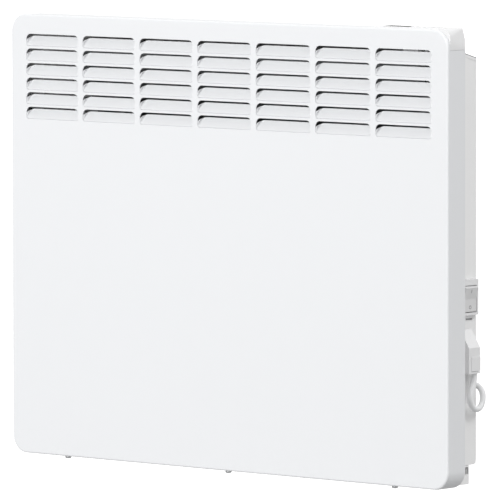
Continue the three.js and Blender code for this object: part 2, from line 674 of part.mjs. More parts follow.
function controlCarrier() {
  const top = BOARD_TOP_Z - BOARD_SHEET - GAP;
  const plate = block(POCKET_LEFT_X + GAP, POCKET_RIGHT_X - GAP, POCKET_FRONT_Y + GAP, POCKET_REAR_Y - GAP,
    top - CARRIER_SHEET, top);
  const tongue = blockAt(SIDE_X - CARRIER_TONGUE_INSET, POCKET_MIDDLE_Y, top - CARRIER_TONGUE_LENGTH / 2,
    CARRIER_TONGUE_WIDTH, CARRIER_SHEET, CARRIER_TONGUE_LENGTH);
  return join(plate, tongue);
}

// ---------- Back box ----------
function boxOutline(inset, frontY) {
  const rear = BOX_REAR_Y - inset;
  const low = BOX_BOTTOM_Z + inset;
  const fold = BOX_FOLD - inset;
  const shape = new THREE.Shape();
  shape.moveTo(frontY, low);
  shape.lineTo(rear - fold, low);
  shape.quadraticCurveTo(rear, low, rear, low + fold);
  shape.lineTo(rear, boxTopAt(rear) - inset - fold);
  shape.quadraticCurveTo(rear, boxTopAt(rear) - inset, rear - fold, boxTopAt(rear - fold) - inset);
  shape.lineTo(frontY, boxTopAt(frontY) - inset);
  return shape;
}

function backBox() {
  const outer = prismX(boxOutline(0, FLANGE_FRONT_Y), -BOX_X, BOX_X, 2);
  const inner = prismX(boxOutline(BOX_SHEET, FLANGE_FRONT_Y - 1), -BOX_INNER_X, BOX_INNER_X, 2);
  const reach = CASING_SHEET + FLANGE_PLAY;
  const flangeOutline = roundedRectangle(-SIDE_X + reach, SIDE_X - reach, BOTTOM_Z + reach, TOP_Z - reach,
    CASING_CORNER - reach);
  const flange = prismY(flangeOutline, FLANGE_FRONT_Y, FLANGE_REAR_Y, 3);
  const tabs = bottomScrewPlaces.map((x) => block(x - TAB_WIDTH / 2, x + TAB_WIDTH / 2,
    FLANGE_REAR_Y - TAB_LENGTH, FLANGE_REAR_Y,
    BOTTOM_Z + CASING_SHEET + GAP, BOTTOM_Z + CASING_SHEET + GAP + BOX_SHEET));
  const notches = [-1, 1].map((side) => blockAt(side * UPRIGHT_X, BOX_REAR_Y,
    (BOX_BOTTOM_Z + ARM_TOP_Z + GAP) / 2 - 1, ARM_WIDTH + 2 * GAP, 4 * BOX_FOLD,
    ARM_TOP_Z + GAP - BOX_BOTTOM_Z + 2));
  const boreZ = HOOD_LOW_Z + BORE_HEIGHT;
  return cut(
    join(outer, flange, ...tabs),
    inner,
    block(CONTROL_LEFT_X - GAP, SIDE_X, FLANGE_FRONT_Y - 1, FLANGE_REAR_Y + 1, CONTROL_UNDER_Z - GAP, TOP_Z),
    block(CONTROL_INNER_X - GAP, SIDE_X, FLANGE_FRONT_Y - 1, FLANGE_REAR_Y + 1, CONTROL_LOW_Z - GAP, TOP_Z),
    blockAt(0, (FLANGE_REAR_Y + BOX_REAR_Y) / 2, BOX_BOTTOM_Z,
      2 * (BOX_X - INLET_MARGIN), INLET_DEPTH, 4 * BOX_SHEET),
    ...notches,
    blockAt(BOX_X, SWITCH_Y, SWITCH_Z,
      4 * BOX_SHEET, SWITCH_BODY_WIDTH + 2 * GAP, SWITCH_BODY_HEIGHT + 2 * GAP),
    blockAt(BOX_X, FRONT_Y + SENSOR_DEPTH, SENSOR_Z, 4 * BOX_SHEET,
      SENSOR_SLOT_WIDTH, SENSOR_SLOT_HEIGHT),
    rodX(CORD_BORE + GAP, BOX_INNER_X - 1, BOX_X + 1, CORD_EXIT[1], boreZ),
    ...rearScrewPlaces.map(([x, z]) => rodY(SCREW_SHANK + GAP, x,
      FLANGE_FRONT_Y - 1, FLANGE_REAR_Y + 1, z, 8)),
    ...bottomScrewPlaces.map((x) => rodZ(SCREW_SHANK + GAP, x, BOTTOM_SCREW_Y, BOTTOM_Z, BOTTOM_Z + 10, 8)),
  );
}

function inletGrille() {
  const x1 = BOX_X - GAP;
  const y0 = RIM_REAR_Y + GAP;
  const y1 = y0 + GRILLE_DEPTH;
  const z0 = BOTTOM_Z + GRILLE_LIFT;
  const z1 = BOX_BOTTOM_Z - GAP;
  const t = GRILLE_SHEET;
  const pitch = (2 * (BOX_X - GRILLE_MARGIN)) / GRILLE_SLOTS;
  const slots = range(GRILLE_SLOTS).map((i) => blockAt((i - (GRILLE_SLOTS - 1) / 2) * pitch,
    (y0 + y1) / 2, z0, GRILLE_SLOT_WIDTH, GRILLE_SLOT_DEPTH, 4 * t));
  const endSlots = blockAt(0, y1 - 2 * GRILLE_END_SLOT_WIDTH, z1 - GRILLE_END_SLOT_HEIGHT,
    2 * BOX_X + 2, GRILLE_END_SLOT_WIDTH, GRILLE_END_SLOT_HEIGHT);
  return cut(
    block(-x1, x1, y0, y1, z0, z1),
    block(-x1 + t, x1 - t, y0 + t, y1 - t, z0 + t, z1 + 1),
    ...slots,
    endSlots,
  );
}

// ---------- Air path and heating element ----------
function heatShield() {
  const t = SHIELD_SHEET;
  const channel = outlineOf([
    [-SHIELD_X, SHIELD_REAR_Y], [-SHIELD_X, SHIELD_Y], [SHIELD_X, SHIELD_Y], [SHIELD_X, SHIELD_REAR_Y],
    [SHIELD_X - t, SHIELD_REAR_Y], [SHIELD_X - t, SHIELD_Y + t], [-SHIELD_X + t, SHIELD_Y + t],
    [-SHIELD_X + t, SHIELD_REAR_Y],
  ]);
  return cut(
    prismZ(channel, BOTTOM_Z + SHIELD_LOW, TOP_Z - SHIELD_TOP),
    rodX(BUSH_RADIUS + GAP, -SHIELD_X - 1, SHIELD_X + 1, ELEMENT_Y, ELEMENT_Z),
  );
}

// A bent sheet from the box's back up and forward to the louvres.
function topDeflector() {
  const t = DEFLECTOR_SHEET;
  const crestZ = TOP_Z - DEFLECTOR_DROP;
  const bendZ = crestZ - DEFLECTOR_RISE;
  const rearY = SHIELD_REAR_Y;
  const profile = outlineOf([
    [rearY, bendZ - DEFLECTOR_FOOT], [rearY, bendZ], [rearY - DEFLECTOR_REACH, crestZ],
    [rearY - DEFLECTOR_REACH - t, crestZ - t], [rearY - t, bendZ - t], [rearY - t, bendZ - DEFLECTOR_FOOT],
  ]);
  return prismX(profile, -SHIELD_X + 2, SHIELD_X - 2);
}

function heatingElement() {
  const fins = range(FIN_COUNT).map((i) => blockAt((i - (FIN_COUNT - 1) / 2) * FIN_PITCH,
    ELEMENT_Y, ELEMENT_Z, FIN_SHEET, FIN_DEPTH, FIN_HEIGHT));
  const coreLength = FIN_COUNT * FIN_PITCH;
  return join(
    rodX(ROD_RADIUS, -ROD_END_X, ROD_END_X, ELEMENT_Y, ELEMENT_Z, 8),
    blockAt(0, ELEMENT_Y, ELEMENT_Z, coreLength, CORE_SIZE, CORE_SIZE),
    ...fins,
  );
}

// Turned about the X axis, with its flange on the outside of the shield's side wall at x = 0.
function elementBush() {
  const inner = ROD_RADIUS + GAP;
  const tail = BUSH_FLANGE_THICKNESS + GAP - BUSH_LENGTH;
  const profile = [
    [inner, tail], [BUSH_RADIUS, tail], [BUSH_RADIUS, GAP], [BUSH_FLANGE, GAP],
    [BUSH_FLANGE, GAP + BUSH_FLANGE_THICKNESS], [inner, GAP + BUSH_FLANGE_THICKNESS], [inner, tail],
  ];
  return new THREE.LatheGeometry(profile.map(([r, y]) => new THREE.Vector2(r, y)), 12).rotateZ(-Math.PI / 2);
}

function overheatCutout() {
  const plate = 1;
  const profile = [
    [0, 0], [CUTOUT_FLANGE, 0], [CUTOUT_FLANGE, plate], [CUTOUT_RADIUS, plate],
    [CUTOUT_RADIUS, CUTOUT_DEPTH], [0, CUTOUT_DEPTH],
  ];
  return new THREE.LatheGeometry(profile.map(([r, y]) => new THREE.Vector2(r, y)), 14).rotateZ(-Math.PI / 2);
}

// ---------- Electrics ----------
const POWER_BOARD_Y = FITTED_Y - BOARD_SHEET;
const TERMINAL_X = BOX_INNER_X - TERMINAL_PLAY - TERMINAL_SIZE[0] / 2;
const TERMINAL_Z = BOTTOM_Z + TERMINAL_LOW + TERMINAL_SIZE[2] / 2;
const TERMINAL_FRONT_Y = FITTED_Y - TERMINAL_SIZE[1];
const STUD_Z = BOTTOM_Z + TERMINAL_LOW - STUD_DROP;

const onBoard = ([width, depth, height], lift) => blockAt(POWER_BOARD_X, POWER_BOARD_Y - GAP - depth / 2,
  POWER_BOARD_LOW_Z + lift + height / 2, width, depth, height);

function terminalBlock() {
  const [width, depth, height] = TERMINAL_SIZE;
  const body = blockAt(TERMINAL_X, FITTED_Y - depth / 2, TERMINAL_Z, width, depth, height);
  const recesses = range(TERMINAL_SCREWS).map((i) => rodY(TERMINAL_SCREW_RADIUS,
    TERMINAL_X + (i - (TERMINAL_SCREWS - 1) / 2) * TERMINAL_SCREW_PITCH,
    TERMINAL_FRONT_Y - 1, TERMINAL_FRONT_Y + 4, TERMINAL_Z + height / 4, 8));
  return cut(body, ...recesses);
}

// Turned about the Y axis, with its foot on the box's back.
function earthStud() {
  const profile = [
    [0, -STUD_LENGTH], [STUD_RADIUS, -STUD_LENGTH], [STUD_RADIUS, -STUD_NUT_LENGTH],
    [STUD_NUT, -STUD_NUT_LENGTH], [STUD_NUT, 0], [0, 0],
  ];
  return new THREE.LatheGeometry(profile.map(([r, y]) => new THREE.Vector2(r, y)), 6);
}

function roomSensor() {
  const [width, depth, height] = SENSOR_SIZE;
  return blockAt(BOX_INNER_X - GAP - width / 2, FRONT_Y + SENSOR_DEPTH, SENSOR_Z, width, depth, height);
}

// ---------- Rocker switch ----------
const PIVOT_X = BOX_X + GAP + BEZEL_PROUD - ROCKER_FACE - GAP;

function switchHousing() {
  const face = BOX_X + GAP + BEZEL_PROUD;
  const bezelOutline = block(BOX_X + GAP, face, SWITCH_Y - BEZEL_WIDTH / 2, SWITCH_Y + BEZEL_WIDTH / 2,
    SWITCH_Z - BEZEL_HEIGHT / 2, SWITCH_Z + BEZEL_HEIGHT / 2);
  const body = block(face - BEZEL_PROUD - SWITCH_BODY_DEPTH, face - 1,
    SWITCH_Y - SWITCH_BODY_WIDTH / 2, SWITCH_Y + SWITCH_BODY_WIDTH / 2,
    SWITCH_Z - SWITCH_BODY_HEIGHT / 2, SWITCH_Z + SWITCH_BODY_HEIGHT / 2);
  const pocket = block(PIVOT_X - SWITCH_POCKET_DEPTH, face + 1,
    SWITCH_Y - SWITCH_BODY_WIDTH / 2 + SWITCH_WALL, SWITCH_Y + SWITCH_BODY_WIDTH / 2 - SWITCH_WALL,
    SWITCH_Z - SWITCH_BODY_HEIGHT / 2 + SWITCH_WALL, SWITCH_Z + SWITCH_BODY_HEIGHT / 2 - SWITCH_WALL);
  const axleHole = rodY(ROCKER_AXLE + GAP, PIVOT_X, SWITCH_Y - BEZEL_WIDTH / 2 + 1.2,
    SWITCH_Y + BEZEL_WIDTH / 2 - 1.2, SWITCH_Z);
  return cut(join(bezelOutline, body), pocket, axleHole);
}

// Seen along its axle: a ridge-free V face, with the lower half pressed in and the upper half standing out.
function rocker() {
  const reach = SWITCH_BODY_HEIGHT / 2 - SWITCH_WALL - ROCKER_CLEARANCE;
  const tilt = THREE.MathUtils.degToRad(ROCKER_TILT);
  const lowerEnd = Math.sqrt(reach ** 2 - ROCKER_FACE ** 2);
  const share = Math.atan2(lowerEnd, ROCKER_FACE) - tilt;
  const arc = (from, to, steps) => range(steps + 1).map((i) => {
    const angle = from + ((to - from) * i) / steps;
    return [reach * Math.cos(angle), reach * Math.sin(angle)];
  });
  const profile = [
    [ROCKER_FACE, 0],
    ...arc(share, share + Math.PI / 5, 3),
    [-ROCKER_FACE, reach / 3],
    [-ROCKER_FACE, -reach / 3],
    ...arc(-share - tilt - Math.PI / 5, -share - tilt, 3),
  ];
  const width = SWITCH_BODY_WIDTH / 2 - SWITCH_WALL - ROCKER_CLEARANCE;
  const body = prismY(outlineOf(profile), -width, width);
  return join(body, rodY(ROCKER_AXLE, 0, -BEZEL_WIDTH / 2 + 1.5, BEZEL_WIDTH / 2 - 1.5, 0));
}

// ---------- Cable entry ----------
function clampBlock(play) {
  const rear = HOOD_Y + HOOD_WIDTH / 2 + 1;
  const low = HOOD_LOW_Z + CLAMP_LIFT;
  return block(HOOD_X - CLAMP_DEPTH - play, HOOD_X + CLAMP_PROUD, rear - 1 - CLAMP_WIDTH - play,
    rear - 1 + (play ? 1 : 0), low - play, low + CLAMP_HEIGHT + play);
}

function cordBore() {
  const boreZ = HOOD_LOW_Z + BORE_HEIGHT;
  return [
    rodZ(CORD_BORE, CORD_EXIT[0], CORD_EXIT[1], HOOD_LOW_Z - 1, boreZ),
    rodX(CORD_BORE, BOX_X, CORD_EXIT[0] + CORD_BORE, CORD_EXIT[1], boreZ),
  ];
}

function cableEntryHousing() {
  const wallX = BOX_X + GAP;
  const upright = HOOD_LOW_Z + HOOD_HEIGHT;
  const profile = outlineOf([
    [wallX, HOOD_LOW_Z], [HOOD_X, HOOD_LOW_Z], [HOOD_X, upright], [wallX, upright + HOOD_RISE],
  ]);
  const hood = prismY(profile, HOOD_Y - HOOD_WIDTH / 2, HOOD_Y + HOOD_WIDTH / 2);
  return cut(hood, clampBlock(GAP), ...cordBore());
}

const cordClamp = () => cut(clampBlock(0), ...cordBore());

// ---------- Wall bracket ----------
// One side of the bracket: a flat strip with a hook arm, two gussets and two ears for the lever's pin.
function bracketUpright() {
  const hookFront = BOX_INNER_Y - GAP - BRACKET_SHEET;
  const armLow = ARM_TOP_Z - ARM_THICKNESS;
  const half = UPRIGHT_WIDTH / 2;
  const padY = BOX_REAR_Y + GAP;
  const strip = block(-half, half, -BRACKET_SHEET, 0, armLow, UPRIGHT_TOP_Z);
  const arm = block(-ARM_WIDTH / 2, ARM_WIDTH / 2, hookFront, 0, armLow, ARM_TOP_Z);
  const hook = block(-ARM_WIDTH / 2, ARM_WIDTH / 2, hookFront, hookFront + BRACKET_SHEET,
    armLow, ARM_TOP_Z + HOOK_HEIGHT);
  const gussets = [-1, 1].map((side) => blockAt(side * (half - BRACKET_SHEET / 2), padY / 2,
    armLow + GUSSET_HEIGHT / 2, BRACKET_SHEET, -padY, GUSSET_HEIGHT));
  const ears = [-1, 1].map((side) => blockAt(side * (EAR_GAP + BRACKET_SHEET) / 2, padY / 2,
    EAR_TOP_Z - EAR_HEIGHT / 2, BRACKET_SHEET, -padY, EAR_HEIGHT));
  return cut(
    join(strip, arm, hook, ...gussets, ...ears),
    rodX(LATCH_PIN_RADIUS + GAP, -half, half, LATCH_PIVOT_Y, LATCH_PIVOT_Z),
    ...WALL_SCREW_HEIGHTS.map((z) => rodY(WALL_SCREW_RADIUS, 0, -BRACKET_SHEET - 1, 1, z)),
  );
}

function bracketCrossbar() {
  const reach = UPRIGHT_X - UPRIGHT_WIDTH / 2 - GAP;
  const half = CROSSBAR_HEIGHT / 2;
  const web = block(-reach, reach, -BRACKET_SHEET, 0, -half, half);
  const flanges = [-1, 1].map((side) => blockAt(0, -CROSSBAR_FLANGE / 2, side * (half - BRACKET_SHEET / 2),
    2 * reach, CROSSBAR_FLANGE, BRACKET_SHEET));
  const holes = [-1, 1].map((side) => rodY(WALL_SCREW_RADIUS, side * CROSSBAR_SLOT_X,
    -BRACKET_SHEET - 1, 1, 0));
  return cut(join(web, ...flanges), ...holes);
}

// The lower crossbar is an angle with a lip, and the rolled-up lead and its plug lie on it.
function cordRail() {
  const rear = -BRACKET_SHEET - GAP;
  const t = RAIL_SHEET;
  const low = RAIL_TOP_Z - t;
  const profile = outlineOf([
    [-RAIL_REACH, low], [rear, low], [rear, low + RAIL_WEB], [rear - t, low + RAIL_WEB],
    [rear - t, RAIL_TOP_Z], [-RAIL_REACH + t, RAIL_TOP_Z], [-RAIL_REACH + t, low + RAIL_LIP],
    [-RAIL_REACH, low + RAIL_LIP],
  ]);
  return prismX(profile, -RAIL_HALF_LENGTH, RAIL_HALF_LENGTH);
}

// A locking lever, about its pin: an eye, an arm, and a finger that holds the top of the box down.
function latch() {
  const fingerTip = BOX_REAR_Y - LATCH_FINGER_REACH;
  const under = (y) => boxTopAt(y) + GAP - LATCH_PIVOT_Z;
  const y = (place) => place - LATCH_PIVOT_Y;
  const heel = BOX_REAR_Y + GAP;
  const crown = LATCH_FINGER_THICKNESS;
  const profile = outlineOf([
    [-LATCH_EYE, 0],
    [-LATCH_EYE * 0.7, -LATCH_EYE * 0.7],
    [0, -LATCH_EYE],
    [LATCH_EYE * 0.7, -LATCH_EYE * 0.7],
    [LATCH_EYE, 0],
    [LATCH_EYE * 0.7, LATCH_EYE],
    [y(heel) + 10, under(heel) + crown],
    [y(fingerTip), under(fingerTip) + crown],
    [y(fingerTip), under(fingerTip)],
    [y(heel), under(heel)],
    [y(heel) + 1, under(heel) - BOX_FOLD],
  ]);
  const body = prismX(profile, -LATCH_WIDTH / 2, LATCH_WIDTH / 2);
  return cut(body, rodX(LATCH_PIN_RADIUS + GAP, -LATCH_WIDTH, LATCH_WIDTH, 0, 0));
}

function latchPin() {
  const reach = EAR_GAP / 2 + BRACKET_SHEET + 1;
  return rodX(LATCH_PIN_RADIUS, -reach, reach, 0, 0);
}

// ---------- Mains lead ----------
// The hank in its own plane: runs along X and round ends, in two layers. It spirals in on the first layer,
// climbs along the run where the spiral turns back, and spirals out on the second one.
function hankCentre() {
  const stepsPerHalf = 12;
  const runShare = 5 / stepsPerHalf;
  const turnBack = HANK_HALF_TURNS / 2;
  const half = HANK_RUN / 2;
  const radiusAt = (s) => {
    const away = s < turnBack ? turnBack - s : Math.max(0, s - turnBack - runShare);
    return HANK_NARROW + ((HANK_WIDE - HANK_NARROW) * Math.min(away, turnBack)) / turnBack;
  };
  const layerAt = (s) => {
    const climb = THREE.MathUtils.smoothstep(s, turnBack, turnBack + runShare);
    return (climb - 0.5) * HANK_LAYER;
  };
  const waistAt = (x) => {
    const near = (half - CORD_DIAMETER - Math.abs(x)) / (half - CORD_DIAMETER - TIE_WIDTH - 2);
    return HANK_WAIST * THREE.MathUtils.smoothstep(near, 0, 1);
  };
  const points = range(Math.round((HANK_HALF_TURNS + runShare) * stepsPerHalf) + 1).map((i) => {
    const s = i / stepsPerHalf;
    const side = Math.floor(s) % 2 === 0 ? 1 : -1;
    const within = s - Math.floor(s);
    const radius = radiusAt(s);
    if (within <= runShare + 1e-9) {
      const x = side * half * (1 - (2 * within) / runShare);
      return [x, layerAt(s), side * (radius - waistAt(x))];
    }
    const angle = (Math.PI * (within - runShare)) / (1 - runShare);
    return [-side * (half + radius * Math.sin(angle)), layerAt(s), side * radius * Math.cos(angle)];
  });
  const first = points[0];
  const last = points[points.length - 1];
  const straight = [CORD_DIAMETER, 0, 0];
  return [first.map((v, k) => v + straight[k]), ...points, last.map((v, k) => v - straight[k])];
}

// The least gap between parts of a line that are more than four diameters apart along it.
function leastGap(line) {
  const spaced = [];
  let along = 0;
  for (let i = 0; i + 1 < line.length; i += 1) {
    const a = new THREE.Vector3(...line[i]);
    const b = new THREE.Vector3(...line[i + 1]);
    const parts = Math.ceil(a.distanceTo(b) / 1.5);
    for (const k of range(parts)) {
      spaced.push([along + (a.distanceTo(b) * k) / parts, a.clone().lerp(b, k / parts)]);
    }
    along += a.distanceTo(b);
  }
  let least = Infinity;
  for (const [i, [at, point]] of spaced.entries()) {
    for (const [otherAt, other] of spaced.slice(i + 1)) {
      if (otherAt - at > 4 * CORD_DIAMETER) least = Math.min(least, point.distanceTo(other));
    }
  }
  return { length: along, gap: least - CORD_DIAMETER };
}

function hank() {
  const centre = hankCentre();
  const { length, gap } = leastGap(centre);
  console.log(`hank: ${length.toFixed(0)} mm of cord, least gap to itself ${gap.toFixed(2)} mm`);
  const sides = 6;
  const line = centre.map((p) => new THREE.Vector3(...p));
  const rings = line.map((point, i) => {
    const ahead = line[Math.min(i + 1, line.length - 1)];
    const behind = line[Math.max(i - 1, 0)];
    const along = ahead.clone().sub(behind).normalize();
    const up = new THREE.Vector3(0, 1, 0);
    up.addScaledVector(along, -up.dot(along)).normalize();
    const across = new THREE.Vector3().crossVectors(along, up);
    return range(sides).map((k) => {
      const angle = (2 * Math.PI * k) / sides;
      const corner = point.clone();
      corner.addScaledVector(up, (CORD_DIAMETER / 2) * Math.cos(angle));
      corner.addScaledVector(across, (CORD_DIAMETER / 2) * Math.sin(angle));
      return corner.toArray();
    });
  });
  return skinOver(rings);
}

// A strap round the waist of the hank.
function cordTie() {
  const centre = hankCentre().filter(([x]) => Math.abs(x) < HANK_RUN / 9);
  const play = CORD_DIAMETER / 2 + 2 * GAP;
  const high = Math.max(...centre.map(([, , z]) => z)) + play;
  const low = Math.min(...centre.map(([, , z]) => z)) - play;
  const deep = HANK_LAYER / 2 + play;
  const b = TIE_BAND;
  const band = roundedRectangle(-deep - b, deep + b, low - b, high + b, 3 + b);
  band.holes.push(roundedRectangle(-deep, deep, low, high, 3));
  return prismX(band, -TIE_WIDTH / 2, TIE_WIDTH / 2, 3);
}

function plugBody() {
  const half = PLUG_HEIGHT / 2;
  const outline = roundedRectangle(-PLUG_THICKNESS / 2, PLUG_THICKNESS / 2, -half, half, 5);
  const body = prismX(outline, -PLUG_LENGTH, 0, 3);
  const sleeve = new THREE.CylinderGeometry(CORD_DIAMETER / 2 + 0.8, CORD_DIAMETER, PLUG_SLEEVE_LENGTH, 10);
  sleeve.rotateZ(-Math.PI / 2).translate(PLUG_SLEEVE_LENGTH / 2 - 0.5, 0, 0);
  return join(body, sleeve);
}

// ---------- Placing the pieces ----------
function addFront() {
  addPart('front_casing', frontCasing(), ...ENAMEL);
  addPart('control_housing', controlHousing(), ...WHITE_PLASTIC);
  addPart('display_lens', displayLens(), 0xdfe6e4, 0.1, 0);
  addPart('display_module', displayModule(), 0x9aa8a0, 0.4, 0);
  for (const [i, name] of KEY_NAMES.entries()) {
    addPart(name, pushKey(), ...WHITE_PLASTIC, [keyX(i), POCKET_MIDDLE_Y, CONTROL_TOP_Z]);
  }
  addPart('control_board', controlBoard(), ...BOARD_GREEN);
  addPart('control_carrier', controlCarrier(), ...WHITE_PLASTIC);
  for (const [i, x] of bottomScrewPlaces.entries()) {
    const head = [x, BOTTOM_SCREW_Y, BOTTOM_Z - GAP - SCREW_HEAD_HEIGHT];
    const geometry = screw(SCREW_HEAD_HEIGHT, BOTTOM_SCREW_LENGTH).rotateX(Math.PI / 2);
    addPart(`bottom_screw_${i + 1}`, geometry, ...STEEL, head);
  }
}

function addRear() {
  addPart('back_box', backBox(), ...BOX_ENAMEL);
  addPart('inlet_grille', inletGrille(), ...BOX_ENAMEL);
  for (const [i, [x, z]] of rearScrewPlaces.entries()) {
    const head = [x, RIM_REAR_Y + GAP + REAR_SCREW_HEAD_HEIGHT, z];
    const geometry = screw(REAR_SCREW_HEAD_HEIGHT, REAR_SCREW_LENGTH).rotateX(Math.PI);
    addPart(`rear_screw_${i + 1}`, geometry, ...STEEL, head);
  }
}

function addHeat() {
  addPart('heat_shield', heatShield(), ...ZINC);
  addPart('top_deflector', topDeflector(), ...ZINC);
  addPart('heating_element', heatingElement(), ...ALUMINIUM);
  addPart('element_insulator_right', elementBush(), ...CERAMIC, [SHIELD_X, ELEMENT_Y, ELEMENT_Z]);
  addPart('element_insulator_left', elementBush().rotateZ(Math.PI), ...CERAMIC,
    [-SHIELD_X, ELEMENT_Y, ELEMENT_Z]);
  addPart('overheat_cutout', overheatCutout(), ...STEEL,
    [SHIELD_X + GAP, ELEMENT_Y, ELEMENT_Z + CUTOUT_RISE]);
}

function addElectrics() {
  const boardHeight = POWER_BOARD_HEIGHT / 2;
  addPart('power_board', blockAt(POWER_BOARD_X, FITTED_Y - BOARD_SHEET / 2, POWER_BOARD_LOW_Z + boardHeight,
    POWER_BOARD_WIDTH, BOARD_SHEET, POWER_BOARD_HEIGHT), ...BOARD_GREEN);
  const relayLift = POWER_BOARD_HEIGHT - RELAY_DROP - RELAY_SIZE[2];
  addPart('power_relay', onBoard(RELAY_SIZE, relayLift), ...BLACK_PLASTIC);
  addPart('supply_transformer', onBoard(TRANSFORMER_SIZE, TRANSFORMER_LIFT), 0xb88a2c, 0.5, 0);
  addPart('terminal_block', terminalBlock(), ...CERAMIC);
  addPart('earth_stud', earthStud(), ...BRASS, [TERMINAL_X, FITTED_Y, STUD_Z]);
  addPart('room_sensor', roomSensor(), ...GREY_PLASTIC);
  addPart('switch_housing', switchHousing(), ...WHITE_PLASTIC);
  addPart('rocker', rocker(), ...WHITE_PLASTIC, [PIVOT_X, SWITCH_Y, SWITCH_Z]);
  addPart('cable_entry_housing', cableEntryHousing(), ...WHITE_PLASTIC);
  addPart('cord_clamp', cordClamp(), ...WHITE_PLASTIC);
}

// Each wire starts and ends face to face with the piece that it joins.
function addWires() {
  const boreZ = HOOD_LOW_Z + BORE_HEIGHT;
  const terminalTop = TERMINAL_Z + TERMINAL_SIZE[2] / 2;
  const terminalFoot = TERMINAL_Z - TERMINAL_SIZE[2] / 2;
  const switchX = BOX_X + GAP - SWITCH_BODY_DEPTH - GAP;
  const boardY = POWER_BOARD_Y - GAP;
  const cordY = CORD_EXIT[1];
  const supply = [
    [BOX_X + CORD_DIAMETER / 2, cordY, boreZ],
    [BOX_X - CORD_DIAMETER, cordY, boreZ],
    [TERMINAL_X + CORD_DIAMETER / 2, cordY, boreZ - TAP_DROP],
    [TERMINAL_X, cordY, boreZ - SOLDER_SIDE],
    [TERMINAL_X, cordY, terminalTop + GAP],
  ];
  const toSwitch = [
    [TERMINAL_X - TAP_SIDE, TERMINAL_FRONT_Y - GAP, TERMINAL_Z - TAP_DROP],
    [TERMINAL_X - TAP_SIDE, TERMINAL_FRONT_Y - TAP_DROP, TERMINAL_Z - TAP_DROP],
    [TERMINAL_X - SOLDER_RISE, TERMINAL_FRONT_Y - WIRE_STUB, terminalTop + SOLDER_RISE],
    [switchX - WIRE_STUB, SWITCH_Y - TAP_DROP, SWITCH_Z - 3 * TAG_HEIGHT],
    [switchX - WIRE_STUB, SWITCH_Y, SWITCH_Z - TAG_HEIGHT],
    [switchX, SWITCH_Y, SWITCH_Z - TAG_HEIGHT],
  ];
  const toBoard = [
    [switchX, SWITCH_Y, SWITCH_Z + TAG_HEIGHT],
    [switchX - WIRE_STUB, SWITCH_Y, SWITCH_Z + TAG_HEIGHT],
    [switchX - WIRE_STUB, SWITCH_Y, (SWITCH_Z + POWER_BOARD_LOW_Z) / 2],
    [POWER_BOARD_X, SWITCH_Y, POWER_BOARD_LOW_Z - WIRE_STUB],
    [POWER_BOARD_X, boardY - WIRE_STUB, POWER_BOARD_LOW_Z + SOLDER_RISE],
    [POWER_BOARD_X, boardY, POWER_BOARD_LOW_Z + SOLDER_RISE],
  ];
  const frontOfSwitch = SWITCH_Y - SWITCH_BODY_WIDTH / 2 - SOLDER_SIDE;
  const toElement = [
    [POWER_BOARD_X - SOLDER_SIDE, boardY, POWER_BOARD_LOW_Z + 2 * SOLDER_RISE],
    [POWER_BOARD_X - SOLDER_SIDE, boardY - WIRE_STUB, POWER_BOARD_LOW_Z + 2 * SOLDER_RISE],
    [POWER_BOARD_X + TAP_DROP, frontOfSwitch, POWER_BOARD_LOW_Z - 2 * SOLDER_RISE],
    [POWER_BOARD_X + SOLDER_SIDE, frontOfSwitch, SWITCH_Z],
    [POWER_BOARD_X + SOLDER_SIDE, frontOfSwitch, TERMINAL_Z],
    [ROD_END_X + SOLDER_SIDE, ELEMENT_Y, ELEMENT_Z + SOLDER_RISE],
    [ROD_END_X + WIRE_STUB, ELEMENT_Y, ELEMENT_Z],
    [ROD_END_X + GAP, ELEMENT_Y, ELEMENT_Z],
  ];
  const earthY = FITTED_Y - STUD_NUT_LENGTH / 2;
  const toStud = [
    [TERMINAL_X, earthY, terminalFoot - GAP],
    [TERMINAL_X, earthY, terminalFoot - WIRE_STUB],
    [TERMINAL_X + 2 * WIRE_RADIUS, earthY - WIRE_RADIUS, (terminalFoot + STUD_Z) / 2],
    [TERMINAL_X, earthY, STUD_Z + STUD_NUT + WIRE_STUB],
    [TERMINAL_X, earthY, STUD_Z + STUD_NUT + GAP],
  ];
  const boardTop = POWER_BOARD_LOW_Z + POWER_BOARD_HEIGHT;
  const carrierUnder = BOARD_TOP_Z - BOARD_SHEET - GAP - CARRIER_SHEET - GAP;
  const ribbon = [
    [POWER_BOARD_X, boardY, boardTop - WIRE_STUB],
    [POWER_BOARD_X, boardY - WIRE_STUB, boardTop - WIRE_STUB],
    [POWER_BOARD_X, SWITCH_Y - SOLDER_RISE, boardTop + 3 * WIRE_STUB],
    [POWER_BOARD_X, FLANGE_FRONT_Y, carrierUnder - 2 * SOLDER_SIDE],
    [POWER_BOARD_X, POCKET_MIDDLE_Y, carrierUnder - SOLDER_RISE],
    [POWER_BOARD_X, POCKET_MIDDLE_Y, carrierUnder],
  ];
  addPart('supply_lead_end', tube(supply, CORD_DIAMETER / 2 - GAP, CORD_SIDES, 12), ...CORD_WHITE);
  addPart('wire_switch', tube(toSwitch, WIRE_RADIUS, 6, 20), 0x7a4a2a, 0.5, 0);
  addPart('wire_board', tube(toBoard, WIRE_RADIUS, 6, 20), 0x7a4a2a, 0.5, 0);
  addPart('wire_element', tube(toElement, WIRE_RADIUS, 6, 30), 0x2b4f9a, 0.5, 0);
  addPart('wire_earth', tube(toStud, WIRE_RADIUS, 6, 8), 0x6fa03a, 0.5, 0);
  addPart('control_ribbon', tube(ribbon, WIRE_RADIUS, 6, 18), 0xb9bcc0, 0.5, 0);
}

